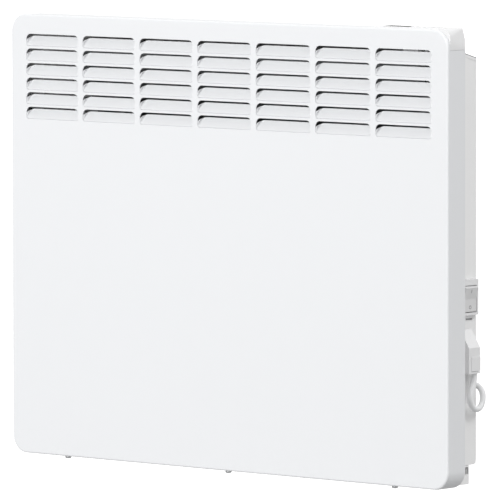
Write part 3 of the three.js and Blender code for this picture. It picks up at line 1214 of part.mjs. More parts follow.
function addBracket() {
  addPart('bracket_crossbar', bracketCrossbar(), ...ZINC);
  addPart('cord_rail', cordRail(), ...ZINC);
  for (const [side, name] of [[-1, 'left'], [1, 'right']]) {
    addPart(`bracket_upright_${name}`, bracketUpright(), ...ZINC, [side * UPRIGHT_X, 0, 0]);
    const pivot = [side * UPRIGHT_X, LATCH_PIVOT_Y, LATCH_PIVOT_Z];
    addPart(`latch_${name}`, latch(), ...ZINC, pivot);
    addPart(`latch_pin_${name}`, latchPin(), ...STEEL, pivot);
  }
}

function addCord() {
  addPart('mains_cord_lead', tube(LEAD_ROUTE, CORD_DIAMETER / 2, CORD_SIDES, 34), ...CORD_WHITE);
  addPart('mains_cord_hank', hank(), ...CORD_WHITE, [HANK_X, HANK_Y, HANK_Z]);
  addPart('mains_cord_tail', tube(TAIL_ROUTE, CORD_DIAMETER / 2, CORD_SIDES, 10), ...CORD_WHITE);
  addPart('cord_tie', cordTie(), ...BLACK_PLASTIC, [HANK_X, HANK_Y, HANK_Z]);
  addPart('plug_body', plugBody(), ...CORD_WHITE, [PLUG_BACK_X, PLUG_Y, PLUG_Z]);
  const pinX = PLUG_BACK_X - PLUG_LENGTH - GAP - PLUG_PIN_LENGTH;
  for (const [i, name] of ['neutral', 'earth', 'live'].entries()) {
    const pin = rodX(PLUG_PIN_RADIUS, 0, PLUG_PIN_LENGTH, 0, 0, 10);
    addPart(`plug_pin_${name}`, pin, ...BRASS, [pinX, PLUG_Y, PLUG_Z + (i - 1) * PLUG_PIN_PITCH]);
  }
}

addFront();
addRear();
addHeat();
addElectrics();
addWires();
addBracket();
addCord();

export default heater;
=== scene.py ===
"""Wall panel convector heater: the visual model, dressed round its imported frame."""

import json
import math

import bmesh
import bpy
from bpy.props import FloatProperty, FloatVectorProperty, IntProperty, PointerProperty
from mathutils import Matrix, Vector


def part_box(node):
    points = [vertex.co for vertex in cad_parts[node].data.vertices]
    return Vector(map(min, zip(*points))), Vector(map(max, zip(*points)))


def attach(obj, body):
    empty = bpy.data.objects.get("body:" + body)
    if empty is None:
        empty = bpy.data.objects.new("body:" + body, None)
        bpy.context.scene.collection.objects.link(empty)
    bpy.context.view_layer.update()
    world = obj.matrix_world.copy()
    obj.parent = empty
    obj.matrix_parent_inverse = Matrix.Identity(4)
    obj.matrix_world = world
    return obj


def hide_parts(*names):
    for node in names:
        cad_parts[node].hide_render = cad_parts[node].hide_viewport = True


bl_info = {
    "name": "Wall panel convector heater",
    "version": (1, 0, 0),
    "blender": (4, 5, 0),
    "location": "View3D > Sidebar > Heater",
    "description": "Builds a wall panel convector heater round its packed frame",
    "category": "Object",
}

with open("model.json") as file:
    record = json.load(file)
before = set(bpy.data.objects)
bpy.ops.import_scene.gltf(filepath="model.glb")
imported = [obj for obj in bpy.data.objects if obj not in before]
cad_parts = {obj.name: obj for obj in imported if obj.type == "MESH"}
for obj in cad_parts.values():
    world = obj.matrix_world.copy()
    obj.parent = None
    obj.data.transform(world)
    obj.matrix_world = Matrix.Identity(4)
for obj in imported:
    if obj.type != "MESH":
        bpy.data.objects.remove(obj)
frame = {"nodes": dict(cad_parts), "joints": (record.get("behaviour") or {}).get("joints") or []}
NODES = frame["nodes"]
MM = 0.001


def span(node):
    """Lowest and highest corner of a node, in millimetres."""
    low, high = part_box(node)
    return low / MM, high / MM


CASING_LOW, CASING_HIGH = span("front_casing")
CASING_CORNER = 18
CORNER_STEPS = 12
EDGE_ROUND = 2
LIP_WIDTH = 10
OUTLINE_POINTS = 40
TOUCH = 0.01

# The louvres, by the same sizes as the solids.
LOUVRE_COLUMNS = 7
LOUVRE_ROWS = 6
LOUVRE_PITCH_X = 78
LOUVRE_PITCH_Z = 14.9
LOUVRE_LENGTH = 71.8
LOUVRE_HEIGHT = 12.5
LOUVRE_DROP = 20
LOUVRE_FOOT = 2.8
FLAP_SET_BACK = 0.8
FLAP_PLAY = 0.02
FLAP_GRID = (26, 8)

# The rear box: its side's distance from the casing's, its sloping top, the shift of the fold behind it,
# the two strips along its edge (how proud, and between which heights), of which the first is a dark grey
# strip of painted shade for the shadow line under the top edge and the second a raised lip, and the vents
# in the grille's ends.
BOX_INSET = 22.5
BOX_REAR_Y = -30
BOX_REAR_TOP = 195.3
BOX_TOP_SLOPE = 0.279
BOX_FOLD_SHIFT = (0, 0.8, 0.6)
BOX_SHADE_STRIP = (0.25, (-0.95, -0.05))
BOX_LIP = (0.4, (-3.7, -1.0))
VENT_LOW = Vector((2.5, 5.5, 8.8))
VENT_HIGH = Vector((2.5, -0.8, -1.6))

# The control unit: its L's arm and leg, the arm's sloping end, where the side starts to lean, its rear
# corner, the wells round its display and keys, and each key's mark as bars (width, depth and shift to
# the rear); a key without bars has a ring.
CONTROL_GAP = 0.05
ARM_HEIGHT = 15.5
ARM_END = (6, 1.5)
LEG_WIDTH = 12
LEAN_START = 10
REAR_LEAN = 3.2
REAR_CORNER = 1.2
CLEAR = Vector((0, 0, 3))
GLASS_WELL = Vector((0.9, 0.9, 0))
GASKET_RIM = Vector((0.8, 0.8, 0))
GASKET_PROUD = Vector((0, 0, 0.5))
GLASS_PLAY = Vector((0.05, 0.05, 0))
KEY_WELL = (4.05, 5.8, 3)
WELL_TOP = 4
KEY_MARKS = {
    "menu": ((3.6, 0.5, -1.1), (3.6, 0.5, 0.0), (3.6, 0.5, 1.1)),
    "minus": ((3.6, 0.6, 0.0),),
    "plus": ((3.6, 0.6, 0.0), (0.6, 3.6, 0.0)),
    "ok": (),
}
MARK_DEPTH = 0.19
RING_RADIUS = 1.4
RING_GROWTH = 1.45

# A casing screw.
HEAD_RADIUS = 3.2
HEAD_DEPTH = 2
HEAD_CROWN = 1.6
HEAD_RAISE = 0.6
SHANK_RADII = (1.0, 1.6)
SHANK_PLAY = 0.2
SLOT = (3.4, 0.7, 1.1)

# Small shifts that fit the switch and the cable entry to the photograph, and the rocker's marks: how far
# they stand from its axle, and the ring's radius and line.
BEZEL_RAISE = 3.4
ROCKER_REACH = 0.25
ROCKER_SHADE = 0.86
HOOD_RAISE = 2.2
CLAMP_REACH = 0.5
MARK_FACE = 4.0
MARK_DROP = -8.2
O_RADIUS = 1.5
O_LINE = 0.4

# The mains lead's route, in metres: out of the hood, one loop beside the box, in behind it to the
# hank, and from the hank down to the plug.
CORD_EXIT = (0.2758, -0.0420, -0.1147)
LEAD_ROUTE = (
    CORD_EXIT,
    (0.2758, -0.0420, -0.1190),
    (0.2760, -0.0436, -0.1248),
    (0.2765, -0.0472, -0.1308),
    (0.2770, -0.0496, -0.1373),
    (0.2770, -0.0480, -0.1444),
    (0.2766, -0.0428, -0.1490),
    (0.2759, -0.0360, -0.1498),
    (0.2750, -0.0298, -0.1464),
    (0.2739, -0.0262, -0.1402),
    (0.2713, -0.0244, -0.1336),
    (0.2660, -0.0230, -0.1293),
    (0.2585, -0.0219, -0.1281),
    (0.2460, -0.0209, -0.1297),
    (0.2300, -0.0202, -0.1330),
    (0.2121, -0.0199, -0.1346),
    (0.1942, -0.0198, -0.1339),
    (0.1823, -0.0198, -0.1331),
    (0.1763, -0.0198, -0.1330),
)
TAIL_ROUTE = (
    (0.0737, -0.0132, -0.1330),
    (0.0675, -0.0132, -0.1330),
    (0.0570, -0.0134, -0.1361),
    (0.0478, -0.0138, -0.1431),
    (0.0404, -0.0143, -0.1521),
    (0.0317, -0.0148, -0.1611),
    (0.0225, -0.0150, -0.1667),
    (0.0163, -0.0150, -0.1677),
    (0.0120, -0.0150, -0.1677),
)
HANK_MIDDLE = (0.125, -0.0165, -0.1595)
HANK_RUN = 0.090
HANK_HALF_TURNS = 4
HANK_WIDE = 0.0265
HANK_NARROW = 0.0175
HANK_LAYER = 0.0066
HANK_WAIST = 0.012
HANK_RUN_SHARE = 5 / 12
HANK_STEPS = 36
HANK_STRAIGHT = 0.006
TIE_WIDTH = 0.007
TIE_PLAY = 0.002
LEAD_STEP = 0.002

# The plug, in millimetres.
PLUG_BODY_END = -16.0
PLUG_CORNER = 9
SLEEVE_RINGS = 7
SLEEVE_RADII = (6.0, 3.8)
SLEEVE_SINK = 0.4
GROOVES = 5
GROOVE_START = 13
GROOVE_PITCH = 4
GROOVE_HALF = Vector((0.9, 0.8, 9))

# The stage: the picture, the floor, the world's blend from front to rear, and each softbox's place and
# size, in metres.
PICTURE_WIDTH = 500
SENSOR_WIDTH = 36
FLOOR_REACH = 60
BLEND_REACH = 0.6
FRONT_SOFTBOX = ((-0.5, -3.8, 0.9), 2.0)
TOP_SOFTBOX = ((2.5, 0.2, 2.5), 1.2)

# ---------- What a user would change ----------

COLOUR = {"subtype": "COLOR", "size": 3, "min": 0, "max": 1}


class HeaterSizes(bpy.types.PropertyGroup):
    """Sizes of the heater's visible detail, in millimetres."""

    sheet: FloatProperty(name="Front sheet", description="Thickness of the front's steel", default=1.0,
                         min=0.4, max=1.5)
    louvre_depth: FloatProperty(name="Louvre depth", description="How far in a flap's top edge stands",
                                default=7.0, min=1.0, max=9.0)
    louvre_curve: FloatProperty(name="Louvre curve", description="How early a flap bends; 1 is a flat flap",
                                default=1.5, min=1.0, max=3.0)
    louvre_end: FloatProperty(name="Louvre end", description="How much of a flap's end curves forward",
                              default=5.0, min=0.5, max=12.0)
    louvre_throat: FloatProperty(name="Louvre throat", description="How far a flap ends below its cut",
                                 default=2.4, min=0.5, max=4.0)
    louvre_corner: FloatProperty(name="Louvre corner", description="Radius of a slot's upper corners",
                                 default=5.4, min=0.5, max=6.0)
    fold: FloatProperty(name="Sheet fold", description="Rounding on folded steel", default=0.5, min=0.05,
                        max=0.6)
    plastic_edge: FloatProperty(name="Plastic edge", description="Rounding on moulded plastic",
                                default=0.7, min=0.1, max=1.2)
    rounding_steps: IntProperty(name="Rounding steps", description="Faces across each rounded edge",
                                default=3, min=1, max=6)
    cord_diameter: FloatProperty(name="Cord diameter", description="Outside diameter of the mains lead",
                                 default=6.0, min=4.0, max=8.0)


class HeaterColours(bpy.types.PropertyGroup):
    """Colours of the heater's finishes."""

    enamel: FloatVectorProperty(name="Enamel", description="Baked enamel of the front",
                                default=(0.80, 0.81, 0.825), **COLOUR)
    box_enamel: FloatVectorProperty(name="Box enamel", description="Baked enamel of the rear box",
                                    default=(0.87, 0.87, 0.87), **COLOUR)
    plastic: FloatVectorProperty(name="Plastic", description="Moulded white plastic",
                                 default=(0.82, 0.82, 0.825), **COLOUR)
    jacket: FloatVectorProperty(name="Cord jacket", description="Jacket of the mains lead",
                                default=(0.84, 0.845, 0.85), **COLOUR)
    zinc: FloatVectorProperty(name="Zinc", description="Galvanised sheet",
                              default=(0.60, 0.62, 0.64), **COLOUR)
    marks: FloatVectorProperty(name="Marks", description="Printed marks on keys and switch",
                               default=(0.3, 0.3, 0.31), **COLOUR)


class HeaterStage(bpy.types.PropertyGroup):
    """Camera, light and floor."""

    bearing: FloatProperty(name="Bearing", description="Camera's angle round the heater from its front",
                           default=math.radians(41.394), subtype="ANGLE")
    pitch: FloatProperty(name="Pitch", description="How far down the camera looks",
                         default=math.radians(4.380), subtype="ANGLE")
    roll: FloatProperty(name="Roll", description="The camera's tilt to one side",
                        default=math.radians(-0.092), subtype="ANGLE")
    focal_pixels: FloatProperty(name="Focal length in pixels", description="For a picture 500 pixels wide",
                                default=7505.1, min=500)
    place: FloatVectorProperty(name="Camera place", description="Where the camera stands",
                               subtype="TRANSLATION", size=3, default=(4.9619, -5.6908, 0.5693))
    sky: FloatProperty(name="Even light", description="Strength of the light from all round", default=0.6,
                       min=0)
    backdrop: FloatProperty(name="Backdrop", description="Strength of the light from behind the heater",
                            default=0.98, min=0)
    key: FloatProperty(name="Front light", description="Power of the front softbox", default=96, min=0)
    top: FloatProperty(name="Top light", description="Power of the softbox up on the right", default=34,
                       min=0)
    glow: FloatProperty(name="Floor glow", description="How far the camera sees the floor lifted to white",
                        default=1.0, min=0)
    floor_drop: FloatProperty(name="Floor", description="How far the floor lies below the heater's middle",
                              default=0.62, min=0.3, subtype="DISTANCE")


# ---------- Finishes ----------


def new_group(name, *outputs):
    """A shader group that takes a place and a scale, with its input and output nodes."""
    tree = bpy.data.node_groups.new(name, "ShaderNodeTree")
    tree.interface.new_socket(name="Vector", in_out="INPUT", socket_type="NodeSocketVector")
    tree.interface.new_socket(name="Scale", in_out="INPUT", socket_type="NodeSocketFloat")
    for label in outputs:
        tree.interface.new_socket(name=label, in_out="OUTPUT", socket_type="NodeSocketFloat")
    return tree, tree.nodes.new("NodeGroupInput"), tree.nodes.new("NodeGroupOutput")


def wire(source, output, target, socket=None):
    """Links a node's output to another node's input, which has the same name if none is given."""
    links = source.id_data.links
    links.new(source.outputs[output], target.inputs[output if socket is None else socket])


def add_node(tree, kind, **values):
    """A new node with its settings and its input values filled in."""
    made = tree.nodes.new(kind)
    for key, value in values.items():
        label = key.replace("_", " ").title()
        if label in made.inputs:
            made.inputs[label].default_value = value
        else:
            setattr(made, key, value)
    return made


def cloudiness():
    """Slow, uneven patches: a mask from 0 to 1."""
    tree, inlet, outlet = new_group("cloudiness", "Mask")
    noise = add_node(tree, "ShaderNodeTexNoise", detail=4.0, roughness=0.6)
    spread = add_node(tree, "ShaderNodeMapRange", from_min=0.3, from_max=0.7)
    wire(inlet, "Vector", noise)
    wire(inlet, "Scale", noise)
    wire(noise, "Fac", spread, "Value")
    wire(spread, "Result", outlet, "Mask")
    return tree


def fine_peel():
    """The slight waviness of sprayed enamel or of moulded plastic: a height."""
    tree, inlet, outlet = new_group("fine_peel", "Height")
    coarse = add_node(tree, "ShaderNodeTexNoise", detail=1.0, roughness=0.4)
    fine = add_node(tree, "ShaderNodeTexVoronoi", feature="SMOOTH_F1", smoothness=1.0)
    mix = add_node(tree, "ShaderNodeMath", operation="MULTIPLY_ADD")
    mix.inputs[1].default_value = 0.35
    for texture in (coarse, fine):
        wire(inlet, "Vector", texture)
        wire(inlet, "Scale", texture)
    wire(fine, "Distance", mix, 0)
    wire(coarse, "Fac", mix, 2)
    wire(mix, 0, outlet, "Height")
    return tree


def spangle():
    """The crystal pattern of a zinc coat with faint rolling lines: a mask and a height."""
    tree, inlet, outlet = new_group("spangle", "Mask", "Height")
    crystals = add_node(tree, "ShaderNodeTexVoronoi", feature="F1")
    tone = add_node(tree, "ShaderNodeRGBToBW")
    stretch = add_node(tree, "ShaderNodeMapping")
    stretch.inputs["Scale"].default_value = (0.06, 1.0, 2.5)
    lines = add_node(tree, "ShaderNodeTexNoise", detail=3.0)
    wire(inlet, "Vector", crystals)
    wire(inlet, "Scale", crystals)
    wire(crystals, "Color", tone, 0)
    wire(inlet, "Vector", stretch)
    wire(stretch, "Vector", lines)
    wire(inlet, "Scale", lines)
    wire(tone, 0, outlet, "Mask")
    wire(lines, "Fac", outlet, "Height")
    return tree


def place_group(tree, make, coords, scale):
    """A group's node in a material, fed with the object's own coordinates; make is its function."""
    made = tree.nodes.new("ShaderNodeGroup")
    made.node_tree = bpy.data.node_groups.get(make.__name__) or make()
    made.inputs["Scale"].default_value = scale
    wire(coords, "Object", made, "Vector")
    return made


def finish(name, colour, roughness, metallic=0.0, shade=0.94, patch=18.0, grain=900.0, depth=0.00003,
           play=0.06, zinc=0.0, coat=0.0, clear=0.0):
    """A material whose colour, roughness and height all vary a little over the surface.

    shade is the darkest patches' share of the colour, patch and grain the scales of the patches and of
    the fine relief, depth that relief's height in metres, play the spread of the roughness, and zinc the
    scale of a zinc coat's crystals where there is one.
    """
    found = bpy.data.materials.get(name)
    if found:
        return found
    made = bpy.data.materials.new(name)
    made.use_nodes = True
    tree = made.node_tree
    skin = tree.nodes["Principled BSDF"]
    for socket, value in (("Metallic", metallic), ("Coat Weight", coat), ("Coat Roughness", 0.12),
                          ("Transmission Weight", clear)):
        skin.inputs[socket].default_value = value
    coords = tree.nodes.new("ShaderNodeTexCoord")
    patches = place_group(tree, spangle if zinc else cloudiness, coords, zinc or patch)
    relief = place_group(tree, fine_peel, coords, grain)
    tint = add_node(tree, "ShaderNodeMix", data_type="RGBA")
    tint.inputs[6].default_value = (*[c * shade for c in colour], 1)
    tint.inputs[7].default_value = (*colour, 1)
    gloss = add_node(tree, "ShaderNodeMapRange", to_min=roughness + play, to_max=roughness - play)
    bump = add_node(tree, "ShaderNodeBump", strength=0.6, distance=depth)
    wire(patches, "Mask", tint, 0)
    wire(tint, 2, skin, "Base Color")
    wire(patches, "Mask", gloss, "Value")
    wire(gloss, "Result", skin, "Roughness")
    wire(relief, "Height", bump)
    wire(bump, "Normal", skin)
    return made


def colours():
    return bpy.context.scene.heater_colours


def front_enamel():
    return finish("baked_front_enamel", colours().enamel, 0.36, shade=0.985, patch=7, grain=1400,
                  depth=0.00002, coat=0.25)


def box_enamel():
    return finish("baked_box_enamel", colours().box_enamel, 0.42, shade=0.975, patch=9, grain=1200)


def white_plastic():
    return finish("moulded_white_plastic", colours().plastic, 0.2, shade=0.98, patch=25, grain=2200,
                  depth=0.00001, play=0.04, coat=0.6)


def zinc_sheet():
    return finish("galvanised_sheet", colours().zinc, 0.38, metallic=0.85, shade=0.8, zinc=170, grain=700)


# The galvanised sheet darkened to under half its colour for the pieces inside the casing: painted shade of
# the interior.
def inner_sheet():
    return finish("galvanised_sheet_painted_shade", [c * 0.45 for c in colours().zinc], 0.5, metallic=0.7,
                  shade=0.8, zinc=170, grain=700)


def plated_steel():
    return finish("plated_screw_steel", (0.74, 0.75, 0.76), 0.3, metallic=1.0, shade=0.85, patch=300)


def cord_jacket():
    return finish("smooth_cord_jacket", colours().jacket, 0.42, shade=0.96, patch=60, grain=1800)


def black_plastic():
    return finish("moulded_black_plastic", (0.02, 0.02, 0.022), 0.42, shade=0.7, patch=120, grain=2600)


def bright_brass():
    return finish("bright_brass", (0.78, 0.6, 0.3), 0.22, metallic=1.0, shade=0.9, patch=200)


def printed_marks():
    return finish("printed_marks", colours().marks, 0.5, shade=0.85, patch=400)


# ---------- Making meshes ----------

SMOOTH_ANGLE = 32
BEVEL_ANGLE = 28
FLAT_ANGLE = 0.6
MERGE_METRES = 0.000002


def box(bm, low, high):
    """A box between two corners, in millimetres."""
    low, high = Vector(low), Vector(high)
    verts = bmesh.ops.create_cube(bm, size=1)["verts"]
    bmesh.ops.scale(bm, vec=high - low, verts=verts)
    move(bm, (low + high) / 2, verts)
    return verts


def flat_rectangle(bm, low, high, columns=1, rows=1):
    """A rectangle of faces in the X-Y plane."""
    verts = bmesh.ops.create_grid(bm, x_segments=columns, y_segments=rows, size=0.5)["verts"]
    size = Vector((high[0] - low[0], high[1] - low[1], 1))
    middle = Vector(((low[0] + high[0]) / 2, (low[1] + high[1]) / 2, 0))
    bmesh.ops.scale(bm, vec=size, verts=verts)
    move(bm, middle, verts)
    return verts


def move(bm, vec, verts=None):
    """Moves vertices, or the whole mesh."""
    bmesh.ops.translate(bm, vec=vec, verts=verts or bm.verts)


def rotate(bm, angle, axis, verts=None, cent=(0, 0, 0)):
    """Turns vertices, or the whole mesh, about an axis through a centre."""
    bmesh.ops.rotate(bm, cent=cent, matrix=Matrix.Rotation(angle, 3, axis), verts=verts or bm.verts)


def round_off(bm, geom, radius, steps, affect="EDGES"):
    """Rounds edges, or a flat face's corners if it affects vertices."""
    bmesh.ops.bevel(bm, geom=geom, offset=radius, offset_type="OFFSET", segments=steps, profile=0.5,
                    affect=affect, clamp_overlap=True, material=-1)


def smooth_up_to(mesh, angle):
    """Shades a mesh smooth where its faces meet at less than an angle in degrees."""
    mesh.shade_smooth()
    mesh.set_sharp_from_angle(angle=math.radians(angle))


def mesh_object(name, bm, smooth=SMOOTH_ANGLE):
    """An object at the origin with the finished mesh, smooth up to the given angle."""
    mesh = bpy.data.meshes.new(name)
    bm.to_mesh(mesh)
    bm.free()
    smooth_up_to(mesh, smooth)
    made = bpy.data.objects.new(name, mesh)
    bpy.context.scene.collection.objects.link(made)
    return made


def dress(piece, material, replaced=(), body="heater"):
    """Gives a piece its finish, the body that it rides on and the nodes that it stands for."""
    piece.data.materials.clear()
    piece.data.materials.append(material)
    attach(piece, body)
    if replaced:
        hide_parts(*replaced)
    return piece


def soften(piece, width, steps=None):
    """Rounds a piece's edges by a width in millimetres."""
    mod = piece.modifiers.new("Rounded edges", "BEVEL")
    mod.width = width * MM
    mod.segments = steps or bpy.context.scene.heater_sizes.rounding_steps
    mod.limit_method = "ANGLE"
    mod.angle_limit = math.radians(BEVEL_ANGLE)
    mod.harden_normals = True
    return piece


def piece_from(name, bm, material, replaced=(), width=0.0, smooth=SMOOTH_ANGLE, wall=0.0,
               body="heater"):
    """A piece from a mesh that was made in millimetres; an open sheet gets its wall inwards."""
    bmesh.ops.scale(bm, vec=(MM, MM, MM), verts=bm.verts)
    bmesh.ops.recalc_face_normals(bm, faces=bm.faces)
    if wall:
        bmesh.ops.solidify(bm, geom=bm.faces[:], thickness=wall * MM)
    made = dress(mesh_object(name, bm, smooth), material, replaced, body)
    return soften(made, width) if width else made


def piece_over(node, name, material, width, steps=None, body="heater"):
    """A piece over a node's own outline, with its flat faces whole again and its edges rounded."""
    bm = bmesh.new()
    bm.from_mesh(NODES[node].data)
    bmesh.ops.remove_doubles(bm, verts=bm.verts, dist=MERGE_METRES)
    bmesh.ops.dissolve_limit(bm, angle_limit=math.radians(FLAT_ANGLE), verts=bm.verts, edges=bm.edges)
    made = dress(mesh_object(name, bm), material, [node], body)
    return soften(made, width, steps) if width else made


def move_verts(piece, wanted, shift):
    """Shifts those of a piece's vertices that are wanted, by millimetres."""
    for vert in piece.data.vertices:
        if wanted(vert.co / MM):
            vert.co += Vector(shift) * MM


def carve(piece, boxes, place=Matrix()):
    """Takes boxes, given in millimetres and then brought to their place, out of a piece."""
    cutter = bmesh.new()
    for low, high in boxes:
        box(cutter, low, high)
    bmesh.ops.transform(cutter, matrix=place, verts=cutter.verts)
    bmesh.ops.scale(cutter, vec=(MM, MM, MM), verts=cutter.verts)
    bmesh.ops.recalc_face_normals(cutter, faces=cutter.faces)
    tool = mesh_object("cutter", cutter)
    mod = piece.modifiers.new("Opening", "BOOLEAN")
    mod.operation = "DIFFERENCE"
    mod.solver = "EXACT"
    mod.object = tool
    ready = piece.evaluated_get(bpy.context.evaluated_depsgraph_get())
    mesh = bpy.data.meshes.new_from_object(ready)
    piece.modifiers.clear()
    old = piece.data
    piece.data = mesh
    bpy.data.meshes.remove(old)
    bpy.data.objects.remove(tool)
    smooth_up_to(mesh, SMOOTH_ANGLE)
    return piece


# ---------- Front ----------


def lone_face(bm):
    """The only face of a mesh."""
    bm.faces.ensure_lookup_table()
    return bm.faces[0]


def corner_inset(depth, radius):
    """How far a rounded corner's outline has come in, at a depth into the corner."""
    return radius - math.sqrt(max(0, radius ** 2 - max(0, depth) ** 2))


def shape_flap(verts, sizes):
    """Presses a unit grid into a flap: steep at its foot, upright above, with its ends curved forward."""
    half_x = LOUVRE_LENGTH / 2
    corner = sizes.louvre_corner
    rise = LOUVRE_HEIGHT - sizes.louvre_throat
    for vert in verts:
        height = vert.co.y * rise
        inset = corner_inset(LOUVRE_FOOT - height, LOUVRE_FOOT)
        inset += corner_inset(height - LOUVRE_HEIGHT + corner, corner)
        reach = half_x - inset - FLAP_PLAY
        # The columns lie closer together towards the ends.
        vert.co.x *= (1.5 - vert.co.x ** 2 / 2) * reach
        past = max(0, abs(vert.co.x) - (reach - sizes.louvre_end)) / sizes.louvre_end
        height -= vert.co.y * corner_inset(past * corner, corner) / 2
        vert.co.y = height - LOUVRE_HEIGHT / 2
        bend = 1 - (1 - height / rise) ** sizes.louvre_curve
        deeper = (sizes.louvre_depth - FLAP_SET_BACK) * bend * math.sqrt(max(0, 1 - past ** 2))
        vert.co.z = -FLAP_SET_BACK - deeper


def louvre_tile(bm, sizes):
    """One louvre in the X-Y plane: a rectangle of the front, its slot and the flap behind it."""
    half_x, half_y = LOUVRE_LENGTH / 2, LOUVRE_HEIGHT / 2
    pitch_x, pitch_y = LOUVRE_PITCH_X / 2, LOUVRE_PITCH_Z / 2
    flat_rectangle(bm, (-half_x, -half_y), (half_x, half_y))
    round_off(bm, [v for v in bm.verts if v.co.y > 0], sizes.louvre_corner, 6, "VERTICES")
    round_off(bm, [v for v in bm.verts if v.co.y < -half_y + TOUCH], LOUVRE_FOOT, 4, "VERTICES")
    slot = lone_face(bm)
    edges = list(slot.edges)
    bmesh.ops.delete(bm, geom=[slot], context="FACES_ONLY")
    flat_rectangle(bm, (-pitch_x, -pitch_y), (pitch_x, pitch_y))
    rim = lone_face(bm)
    edges += list(rim.edges)
    bmesh.ops.delete(bm, geom=[rim], context="FACES_ONLY")
    bmesh.ops.triangle_fill(bm, use_beauty=True, edges=edges, normal=(0, 0, 1))
    shape_flap(flat_rectangle(bm, (-1, 0), (1, 1), *FLAP_GRID), sizes)


def louvre_field(bm, sizes):
    """All the louvres at their place in the front; gives the edges round them."""
    louvre_tile(bm, sizes)
    first = bm.verts[:] + bm.edges[:] + bm.faces[:]
    left = -LOUVRE_PITCH_X * (LOUVRE_COLUMNS - 1) / 2
    top = CASING_HIGH.z - LOUVRE_DROP - LOUVRE_HEIGHT / 2
    for row in range(LOUVRE_ROWS):
        for column in range(LOUVRE_COLUMNS):
            if row or column:
                copy = bmesh.ops.duplicate(bm, geom=first)["geom"]
                verts = [g for g in copy if isinstance(g, bmesh.types.BMVert)]
                shift = (LOUVRE_PITCH_X * column, -LOUVRE_PITCH_Z * row, 0)
                move(bm, shift, verts)
    bmesh.ops.remove_doubles(bm, verts=bm.verts, dist=TOUCH)
    move(bm, (left, top, 0))
    rotate(bm, math.pi / 2, "X")
    move(bm, (0, CASING_LOW.y, 0))
    low_z = top - LOUVRE_PITCH_Z * (LOUVRE_ROWS - 0.5)
    high_z = top + LOUVRE_PITCH_Z / 2
    side = LOUVRE_PITCH_X * LOUVRE_COLUMNS / 2

    def on_rim(vert):
        off = min(abs(abs(vert.co.x) - side), abs(vert.co.z - low_z), abs(vert.co.z - high_z))
        return off < 2 * TOUCH

    return [e for e in bm.edges if e.is_boundary and all(on_rim(v) for v in e.verts)]


def front_face(bm):
    """The front's own face, the largest in its plane with its many outline points."""
    found = [f for f in bm.faces
             if len(f.verts) > OUTLINE_POINTS and f.calc_center_median().y < CASING_LOW.y + 1]
    return max(found, key=lambda f: f.calc_area())


class HEATER_OT_front(bpy.types.Operator):
    """Makes the steel front with its rim, its return lip and its pressed louvres"""

    bl_idname = "heater.front"
    bl_label = "Front casing"

    def execute(self, context):
        sizes = context.scene.heater_sizes
        bm = bmesh.new()
        field_rim = louvre_field(bm, sizes)
        verts = box(bm, CASING_LOW, CASING_HIGH)
        uprights = {e for v in verts for e in v.link_edges if abs(e.verts[0].co.y - e.verts[1].co.y) > 1}
        round_off(bm, list(uprights), CASING_CORNER, CORNER_STEPS)
        body = [f for f in bm.faces if f.calc_center_median().y > CASING_LOW.y + 1]
        front = front_face(bm)
        rear = max(body, key=lambda f: f.calc_area())
        bmesh.ops.inset_individual(bm, faces=[rear], thickness=LIP_WIDTH)
        bmesh.ops.delete(bm, geom=[rear], context="FACES")
        round_off(bm, list(front.edges), EDGE_ROUND, 4)
        outline = front_face(bm)
        edges = list(outline.edges) + field_rim
        bmesh.ops.delete(bm, geom=[outline], context="FACES_ONLY")
        bmesh.ops.triangle_fill(bm, use_beauty=True, edges=edges, normal=(0, -1, 0))
        self.cut_for_controls(bm)
        front_piece = piece_from("front_casing_pressed", bm, front_enamel(),
                                 ["front_casing"], smooth=50, wall=sizes.sheet)
        weights = front_piece.modifiers.new("Flat faces", "WEIGHTED_NORMAL")
        weights.keep_sharp = True
        weights.weight = 100
        return {"FINISHED"}

    def cut_for_controls(self, bm):
        """Opens the rim where the control unit fills the corner."""
        corner = span("control_housing")[0] - Vector((CONTROL_GAP, CONTROL_GAP, CONTROL_GAP))
        planes = [(corner, Vector(normal)) for normal in ((1, 0, 0), (0, 0, 1), (0, 1, 0))]
        for place, normal in planes:
            rim = [f for f in bm.faces if min(v.co.y for v in f.verts) > CASING_LOW.y + EDGE_ROUND - 0.5]
            parts = {g for f in rim for g in (*f.verts, *f.edges, f)}
            bmesh.ops.bisect_plane(bm, geom=list(parts), dist=0.001, plane_co=place, plane_no=normal)
        gone = []
        for face in bm.faces:
            middle = face.calc_center_median()
            if all((middle - place).dot(normal) > 0 for place, normal in planes):
                gone.append(face)
        bmesh.ops.delete(bm, geom=gone, context="FACES")


def control_outline(bm, radius, y, lean=0.0):
    """The control unit's L-shaped end face, its corner rounded and its side leaning in at the top."""
    low, high = span("control_housing")
    side_x = high.x - LEG_WIDTH
    under = high.z - ARM_HEIGHT
    points = ((side_x, under), (side_x, low.z), (high.x, low.z), (high.x, low.z + LEAN_START),
              (high.x - lean, high.z), (low.x + ARM_END[0], high.z), (low.x, high.z - ARM_END[1]),
              (low.x, under))
    verts = [bm.verts.new((x, y, z)) for x, z in points]
    bm.faces.new(verts)
    round_off(bm, [verts[4]], radius, 14, "VERTICES")
    kept = [f for f in bm.faces if abs(f.calc_center_median().y - y) < TOUCH]
    return max(kept, key=lambda f: f.calc_area())


